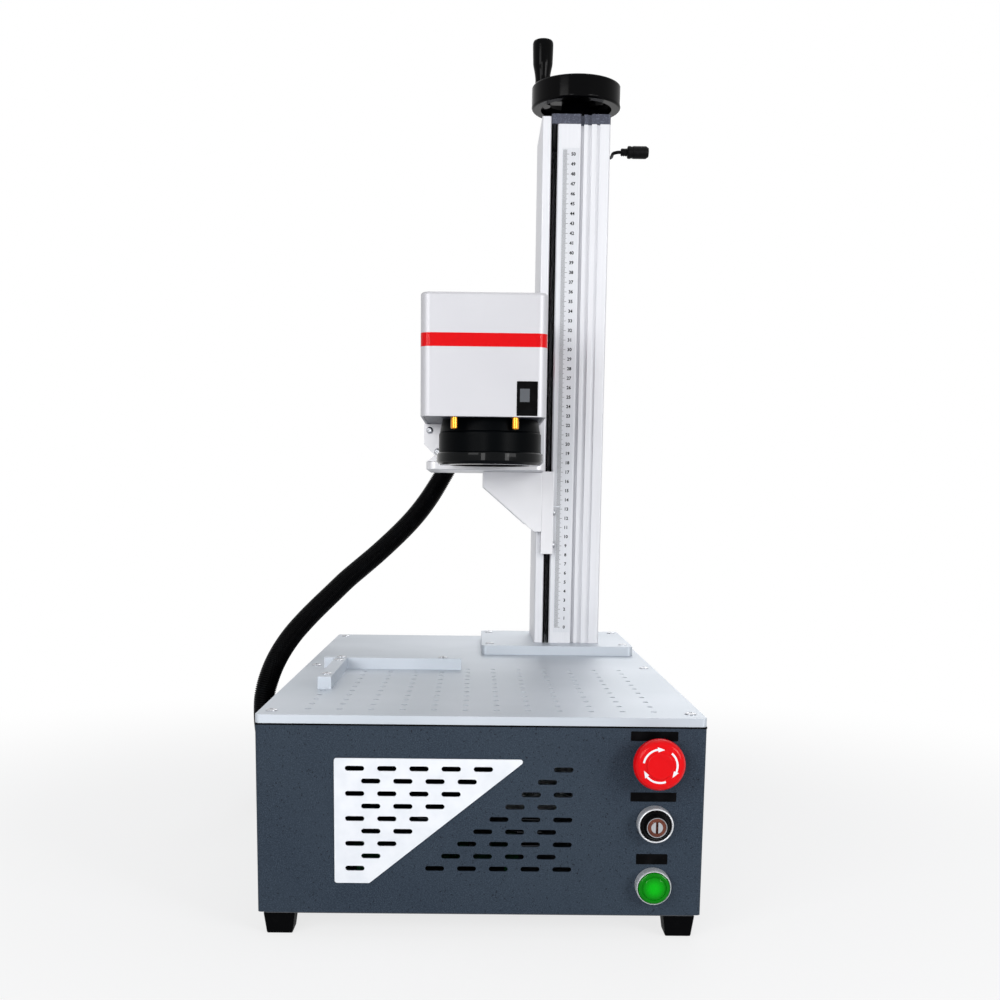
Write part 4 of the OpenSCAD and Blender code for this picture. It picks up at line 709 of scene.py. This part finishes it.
middle = split_middle("lamp_bezel")[0]
lamp_place = Vector((middle.x, front_y, middle.z))
surround_profile = [(0.0137, 0), (0.0140, 0.0003), (0.0140, 0.0064), (0.0138, 0.0081), (0.0136, 0.0092),
    (0.0133, 0.0099), (0.0130, 0.0101), (0.0128, 0.0098), (0.01262, 0.0090), (0.01255, 0.0022)]
surround = turned("lamp_surround", surround_profile, lamp_place, forward=(0, -1, 0))
fit(broken_edges(surround, 0), chrome, "root", "lamp_bezel")

green_lens, place = new_finish("green_lens")
prisms = place.grain(1300, 0)
# Painted glow: the lens's green is painted paler towards its middle.
glow = 1 - axis_reach(place, lamp_place).step(glow_inner, glow_outer)
place.shade({
    "Base Color": glow.mix(screen(0, 116, 6), screen(0, 172, 16)),
    "Roughness": 0.1 + prisms * 0.1,
    "Specular IOR Level": 0.12,
    "Normal": prisms.relief(0.00006),
})
lens_profile = [(0.0121, 0.0054), (0.01245, 0.0058), (0.01245, 0.0098), (0.0122, 0.0105), (0.0115, 0.0109),
    (0.0104, 0.0111), (0.0097, 0.0111), (0.0093, 0.0106), (0.0089, 0.0106), (0.0086, 0.0111),
    (0.0076, 0.0115), (0.0056, 0.0118), (0.0030, 0.01195), (0.0010, 0.0120)]
lamp_lens = turned("lamp_lens", lens_profile, lamp_place, forward=(0, -1, 0))
fit(broken_edges(lamp_lens, 0), green_lens, "lamp", "lamp_cap")


# Label plates: three thin black anodised strips beside the controls, left bare.
# They are glued to the cabinet and have small round corners.
def rounded(left, right, low, high, radius, steps=5):
    """The outline of a plate with round corners."""
    outline = []
    for x, y, first in ((right - radius, high - radius, 0), (left + radius, high - radius, 90),
            (left + radius, low + radius, 180), (right - radius, low + radius, 270)):
        outline += [(x + dx, y + dy) for dx, dy in arc(radius, first, first + 90, steps)]
    return outline


black_paint, place = new_finish("black_paint")
wipe = place.grain(110, 3).step(0.4, 0.8)
place.shade({
    "Base Color": wipe.mix(screen(3, 3, 4), screen(10, 10, 12)),
    "Roughness": 0.38 + wipe * 0.16,
    "Specular IOR Level": 0.035,
    "Normal": place.grain(1800, 1).relief(0.00003),
})
label_thick = 0.0006
label_corner = 0.0007
# Left, right, lowest and highest edge of each
label_boxes = [(0.1160, 0.1527, 0.1601, 0.1676), (0.1170, 0.1528, 0.1120, 0.1193),
    (0.1228, 0.1474, 0.0615, 0.0698)]
labels = [rounded(*label_box, label_corner) for label_box in label_boxes]
labels = flat_shape("control_labels", labels, label_thick / 2, (0, front_y, 0))
fit(broken_edges(labels, 0.0001), black_paint, "root")

# Inside the cabinet: the ribbed casting of the laser source, the zinc-plated power supply
# and the control board with its black parts, all screwed to the tray.
fit(edged("laser_source", "laser_casting", 0.0008), black_paint, "root", "laser_source")

zinc_case, place = new_finish("zinc_case")
spangle = place.node("ShaderNodeTexVoronoi", None, {"Vector": place, "Scale": 60}, output="Color")
spangle = spangle.node("ShaderNodeSeparateColor", None, {0: spangle})
place.shade({
    "Base Color": spangle.mix(screen(160, 164, 168), screen(190, 193, 197)),
    "Metallic": 0.9,
    "Roughness": 0.34 + spangle * 0.18,
    "Normal": place.grain(300, 2).relief(0.00002),
})
fit(edged("power_supply", "supply_case", 0.0004), zinc_case, "root", "power_supply")

board_parts_high = 0.0079
board_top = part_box("control_board")[1][2] - board_parts_high
circuit_board, place = new_finish("circuit_board")
height = place.node("ShaderNodeSeparateXYZ", None, {0: place}, output="Z")
tracks = place.node("ShaderNodeTexBrick", None, {"Vector": place, "Scale": 160, "Mortar Size": 0.03,
    "Color1": (1, 1, 1, 1), "Color2": (1, 1, 1, 1), "Mortar": (0, 0, 0, 1)}, output="Fac")
lacquer = tracks.mix(screen(10, 74, 40), screen(28, 116, 66))
place.shade({
    "Base Color": height.step(board_top, board_top + 0.0002).mix(lacquer, screen(24, 24, 26)),
    "Roughness": 0.35 + place.grain(500, 2) * 0.15,
    "Normal": (1 - tracks).relief(0.00003),
})
fit(edged("control_board", "drive_board", 0.0003), circuit_board, "root", "control_board")


# Rear fittings: a black fan whose frame and rotor sit behind the panel's slots, and the mains inlet
# with three steel pins in its socket and a plain rocker switch above.
def block(name, low, high, edge, segments=2):
    """A small block between two corners, with its edges bevelled."""
    low, high = Vector(low), Vector(high)
    bpy.ops.object.select_all(action="DESELECT")
    bpy.ops.mesh.primitive_cube_add(size=1, location=(low + high) / 2)
    piece = bpy.context.object
    piece.name = name
    piece.scale = high - low
    bpy.ops.object.transform_apply(location=True, rotation=True, scale=True)
    return broken_edges(piece, edge, segments)


pin_places = ((-0.007, -0.0135), (0.007, -0.0135), (0, -0.0095))
pin_size = (0.002, 0.015, 0.004)
pin_sunk = 0.0045
rocker_tilt = 6

for node, name, body in (("fan_frame", "fan_housing", "root"), ("fan_rotor", "fan_blades", "fan"),
        ("power_inlet", "mains_inlet", "root")):
    fit(edged(node, name, 0.0004), black_plastic, body, node)
inlet, low, high = split_middle("power_inlet")
for number, (across, rise) in enumerate(pin_places):
    end = Vector((inlet.x + across + pin_size[0] / 2, high.y - pin_sunk, inlet.z + rise + pin_size[2] / 2))
    fit(block("inlet_pin_%d" % (number + 1), end - Vector(pin_size), end, 0.0004), bright_steel, "root")
rocker = block("inlet_rocker", (inlet.x - 0.0088, high.y - 0.003, inlet.z + 0.0058),
    (inlet.x + 0.0088, high.y - 0.0002, inlet.z + 0.0178), 0.0009, 3)
only(rocker)
bpy.ops.object.mode_set(mode="EDIT")
bpy.ops.mesh.select_all(action="SELECT")
bpy.ops.transform.rotate(value=math.radians(rocker_tilt), orient_axis="X",
    center_override=(inlet.x, high.y - 0.003, inlet.z + 0.0118))
bpy.ops.object.mode_set(mode="OBJECT")
fit(rocker, black_plastic, "root")

# Column: an extruded and clear anodised aluminium channel with a cover bar beside it. The carriage
# comes out through the gap between them, which black rubber lips close in front and behind.
anodised_column, place = new_finish("anodised_column")
drawn = place.grain(700, 3, stretch=(1, 1, 0.015))
cloud = place.grain(5, 2).step(0.3, 0.7)
place.shade({
    "Base Color": (drawn * 0.6 + cloud * 0.4).mix(screen(203, 204, 209), screen(220, 221, 225)),
    "Metallic": 0.35,
    "Roughness": 0.38 + drawn * 0.14,
    "Normal": drawn.relief(0.00002),
})
fit(edged("column_extrusion", "column_body", 0.0003), anodised_column, "root", "column_extrusion")
fit(edged("column_cover", "column_bar", 0.0006), anodised_column, "root", "column_cover")
fit(edged("slot_seals", "gap_lips", 0.0005, 3), black_rubber, "root", "slot_seals")

# Dark anodised grey for the head's plate and the collimator; on the column's end cap the same dark grey is
# painted shade.
dark_anodised, place = new_finish("dark_anodised")
speck = place.grain(850, 2).step(0.5, 0.68)
place.shade({
    "Base Color": speck.mix(screen(64, 67, 80), screen(92, 96, 110)),
    "Metallic": 0.5,
    "Roughness": 0.36 + speck * 0.2,
    "Normal": speck.relief(0.00004),
})
# The end cap closes the extrusion, and its dark grey is painted shade: it stands in for the shadow and
# reflection of the handwheel on the column's top.
fit(edged("column_cap", "painted_shade_end_cap", 0.0006), dark_anodised, "root", "column_cap")

# Scale: a printed foil on the column's front with a mark each millimetre and a number each
# centimetre, and a small white pointer on the carriage that runs beside it.
scale_zero = 0.2057
scale_marks = 505
mark_width = 0.00034
mark_lengths = (0.0042, 0.0052, 0.0064)
number_height = 0.0047
number_bold = 0.00016
number_x = 0.0929
print_rise = 0.00003

scale_foil, place = new_finish("scale_foil")
brushed = place.grain(800, 3, stretch=(1, 1, 0.02))
place.shade({
    "Base Color": brushed.mix(screen(198, 200, 206), screen(212, 214, 218)),
    "Metallic": 0.35,
    "Roughness": 0.34 + brushed * 0.12,
    "Normal": brushed.relief(0.00001),
})
fit(edged("ruler_scale", "scale_strip", 0.0001), scale_foil, "root", "ruler_scale")
foil_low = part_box("ruler_scale")[0]
marks = []
for step in range(scale_marks):
    left = foil_low[0] + 0.0010
    right = left + mark_lengths[(step % 5 == 0) + (step % 10 == 0)]
    low = scale_zero + step * 0.001 - mark_width / 2
    high = low + mark_width
    marks.append([(left, low), (right, low), (right, high), (left, high)])
fit(flat_shape("scale_marks", marks, print_rise, (0, foil_low[1], 0)), black_paint, "root")
numbers = []
for number in range(scale_marks // 10 + 1):
    bpy.ops.object.select_all(action="DESELECT")
    bpy.ops.object.text_add(location=(number_x, foil_low[1], scale_zero + number * 0.01),
        rotation=(math.radians(90), 0, 0))
    text = bpy.context.object
    text.data.body = str(number)
    text.data.size = number_height
    text.data.offset = number_bold
    text.data.align_x, text.data.align_y = "CENTER", "CENTER"
    text.data.extrude = print_rise
    text.data.resolution_u = 2
    bpy.ops.object.convert(target="MESH")
    numbers.append(bpy.context.object)
for text in numbers:
    text.select_set(True)
bpy.ops.object.join()
numbers = bpy.context.object
numbers.name = "scale_numbers"
bpy.ops.object.transform_apply(location=True, rotation=True, scale=True)
fit(numbers, black_paint, "root")
fit(edged("scale_pointer", "pointer_blade", 0), white_paint, "carriage", "scale_pointer")

# Lift: a ground screw between two bearings and two guide rods, all of bright steel, inside the column.
# The nut is bronze and carries the carriage up and down as the screw turns.
for node, name, body, width in (("guide_rails", "guide_rods", "root", 0.0005),
        ("screw_bearings", "bearing_rings", "root", 0.0004),
        ("lead_screw", "lift_screw_shaft", "lift_screw", 0.0004)):
    fit(edged(node, name, width), bright_steel, body, node)
bronze, place = new_finish("bronze")
tarnish = place.grain(120, 4).step(0.4, 0.8)
place.shade({
    "Base Color": tarnish.mix(screen(186, 140, 78), screen(134, 98, 56)),
    "Metallic": 0.9,
    "Roughness": 0.3 + tarnish * 0.2,
    "Normal": place.grain(900, 2).relief(0.00003),
})
fit(edged("lift_nut", "bronze_nut", 0.0004), bronze, "carriage", "lift_nut")

# Handwheel: a glossy black phenolic moulding with three spokes, and a grip that spins on a spindle.
# The grip is turned: straight above, then drawn in to a narrow neck.
black_gloss, place = new_finish("black_gloss")
swirl = place.grain(240, 4).step(0.55, 0.85)
place.shade({
    "Base Color": swirl.mix(screen(1, 1, 2), screen(6, 7, 8)),
    "Roughness": 0.1 + swirl * 0.1,
    "Specular IOR Level": 0.06,
    "Normal": place.grain(60, 1).relief(0.00006),
})
fit(edged("handwheel", "hand_wheel", 0.0010, 3), black_gloss, "lift_screw", "handwheel")
middle, low, high = split_middle("crank_grip")
grip_profile = [(0.0066, 0.0002), (0.0072, 0), (0.0079, 0.0008), (0.0081, 0.0022), (0.0080, 0.0046),
    (0.0082, 0.0077), (0.0086, 0.0110), (0.0092, 0.0144), (0.0099, 0.0175), (0.0104, 0.0197),
    (0.0107, 0.0216), (0.0109, 0.0268), (0.0111, 0.0335), (0.01125, 0.0393), (0.01125, 0.0420),
    (0.0110, 0.0436), (0.0104, 0.0449), (0.0094, 0.0456), (0.0078, 0.0460), (0.0040, 0.0460)]
grip = turned("crank_handle", grip_profile, (middle.x, middle.y, low.z))
fit(broken_edges(grip, 0), black_gloss, "grip", "crank_grip")

# Carriage and bracket: milled aluminium plates, clear anodised. Bars beside the column join the block
# inside it to the saddle, the gussets and the shelf, and two waisted plates carry the head.
bracket_aluminium, place = new_finish("bracket_aluminium")
milled = place.grain(900, 2, stretch=(0.06, 1, 1))
haze = place.grain(14, 2).step(0.3, 0.7)
place.shade({
    "Base Color": haze.mix(screen(202, 202, 206), screen(214, 214, 217)),
    "Metallic": 0.5,
    "Roughness": 0.36 + milled * 0.16,
    "Normal": milled.relief(0.00002),
})
for node, name, width in (("carriage_ears", "side_bars", 0.0006), ("carriage_saddle", "saddle", 0.0005),
        ("bracket_gussets", "gusset_plates", 0.0006), ("shelf_plate", "head_shelf", 0.0007),
        ("riser_plates", "head_risers", 0.0005)):
    fit(edged(node, name, width), bracket_aluminium, "carriage", node)

# Marking head: a silver-grey cover with round upright corners and one glossy red band round it.
# A bare black label with a plain grey field is glued low on its front.
cover_round = 0.0028
band_low, band_high = 0.4837, 0.4960
band_proud = 0.00015
corner_radius = 0.009
head_label_box = (0.0308, 0.0503, 0.4216, 0.4530)
field_box = (0.0338, 0.0428, 0.4342, 0.4462)
head_label_proud = 0.0003

head_paint, place = new_finish("head_paint")
bead = place.grain(1500, 2)
place.shade({
    "Base Color": place.grain(6, 2).step(0.3, 0.7).mix(screen(187, 187, 192), screen(194, 194, 198)),
    "Metallic": 0.25,
    "Roughness": 0.38 + bead * 0.12,
    "Normal": bead.relief(0.00002),
})
cover = copy_of("head_housing", "head_cover")
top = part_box("head_housing")[1][2]
bpy.ops.object.mode_set(mode="EDIT")
bpy.ops.mesh.select_all(action="DESELECT")
bpy.ops.mesh.select_mode(type="FACE")
bpy.ops.object.mode_set(mode="OBJECT")
for face in cover.data.polygons:
    face.select = face.normal.z > 0.99 and face.center.z > top - 0.0005
bpy.ops.object.mode_set(mode="EDIT")
bpy.ops.mesh.region_to_loop()
bpy.ops.mesh.bevel(offset=cover_round, segments=5, affect="EDGES")
bpy.ops.object.mode_set(mode="OBJECT")
fit(broken_edges(cover, 0.0006), head_paint, "carriage", "head_housing")
fit(edged("head_base", "head_plate", 0.0005), dark_anodised, "carriage", "head_base")

low, high = (Vector(corner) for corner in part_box("head_housing"))
band = hoop("red_band", (low.x, low.y, band_low), (high.x, high.y, band_high), corner_radius, band_proud)
fit(band, red_plastic, "carriage")

label = [rounded(*head_label_box, 0.0006)]
label = flat_shape("head_label", label, head_label_proud, (0, low.y, 0))
fit(broken_edges(label, 0.0001), black_paint, "carriage")
field = [rounded(*field_box, 0.0004)]
field = flat_shape("label_field", field, 0.0001, (0, low.y - head_label_proud, 0))
fit(field, dark_steel, "carriage")

# Lens: a tapered neck, a barrel with a stepped front ring and a retaining ring, all turned
# and black anodised, round coated dark glass. The front ring is lacquered over, so it shines.
ring_high = 0.0096
gloss_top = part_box("lens_barrel")[0][2] + ring_high

black_anodised, place = new_finish("black_anodised")
grind = place.grain(700, 2, stretch=(1, 1, 9))
height = place.node("ShaderNodeSeparateXYZ", None, {0: place}, output="Z")
place.shade({
    "Base Color": grind.mix(screen(1, 2, 3), screen(4, 6, 8)),
    "Specular IOR Level": 0.025,
    "Roughness": 0.26 + grind * 0.14,
    "Coat Weight": 1 - height.step(gloss_top - 0.0004, gloss_top + 0.0004),
    "Coat Roughness": 0.05,
    "Coat IOR": 1.17,
    "Normal": grind.relief(0.00001),
})
middle, low, high = split_middle("lens_barrel")
barrel_profile = [(0.0400, low.z), (0.0510, low.z), (0.0517, low.z + 0.0006), (0.0520, low.z + 0.0015),
    (0.0520, low.z + 0.0078), (0.0518, low.z + 0.0088), (0.0512, low.z + 0.0094), (0.0500, low.z + 0.0098),
    (0.04975, low.z + 0.0104), (0.04975, high.z - 0.0026), (0.0496, high.z - 0.0010),
    (0.0492, high.z - 0.0003), (0.0489, high.z), (0.0400, high.z), (0.0400, low.z)]
barrel = turned("lens_body", barrel_profile, (middle.x, middle.y, 0), ring=True)
fit(broken_edges(barrel, 0), black_anodised, "carriage", "lens_barrel")
fit(edged("lens_neck", "lens_collar", 0.0012, 3), black_anodised, "carriage", "lens_neck")
fit(edged("lens_ring", "lens_retainer", 0.0003), black_anodised, "carriage", "lens_ring")

lens_glass, place = new_finish("lens_glass")
bloom = place.grain(30, 2).step(0.35, 0.75)
place.shade({
    "Base Color": bloom.mix(screen(24, 30, 46), screen(34, 36, 62)),
    "Roughness": 0.03 + bloom * 0.04,
    "Alpha": 0.8,
    "Coat Weight": 1.0,
    "Coat Roughness": 0.02,
})
fit(edged("lens_glass", "scan_lens", 0), lens_glass, "carriage", "lens_glass")

# Pointer lamps: two short brass tubes in the head's underside that show where the beam falls.
# Each is turned, with a bevelled mouth.
brass, place = new_finish("brass")
spun = place.grain(1200, 2, stretch=(1, 1, 6))
place.shade({
    "Base Color": spun.mix(screen(226, 160, 62), screen(200, 128, 40)),
    "Metallic": 1.0,
    "Roughness": 0.16 + spun * 0.14,
    "Normal": spun.relief(0.00002),
})
fit(edged("pointer_lamps", "aiming_lamps", 0.0003), brass, "carriage", "pointer_lamps")

# Scan parts: two black motors on the head's plate, a coated mirror on the shaft of each,
# and the collimator tube that brings the beam from the fibre.
mirror, place = new_finish("mirror")
place.shade({
    "Base Color": place.grain(80, 2).mix(screen(238, 232, 208), screen(226, 222, 206)),
    "Metallic": 1.0,
    "Roughness": 0.03,
})
fit(edged("galvo_motors", "scan_motors", 0.0005), black_anodised, "carriage", "galvo_motors")
fit(edged("galvo_mirror_x", "first_mirror", 0.0002), mirror, "mirror_x", "galvo_mirror_x")
fit(edged("galvo_mirror_y", "second_mirror", 0.0002), mirror, "mirror_y", "galvo_mirror_y")
fit(edged("beam_collimator", "collimator", 0.0006), dark_anodised, "carriage", "beam_collimator")
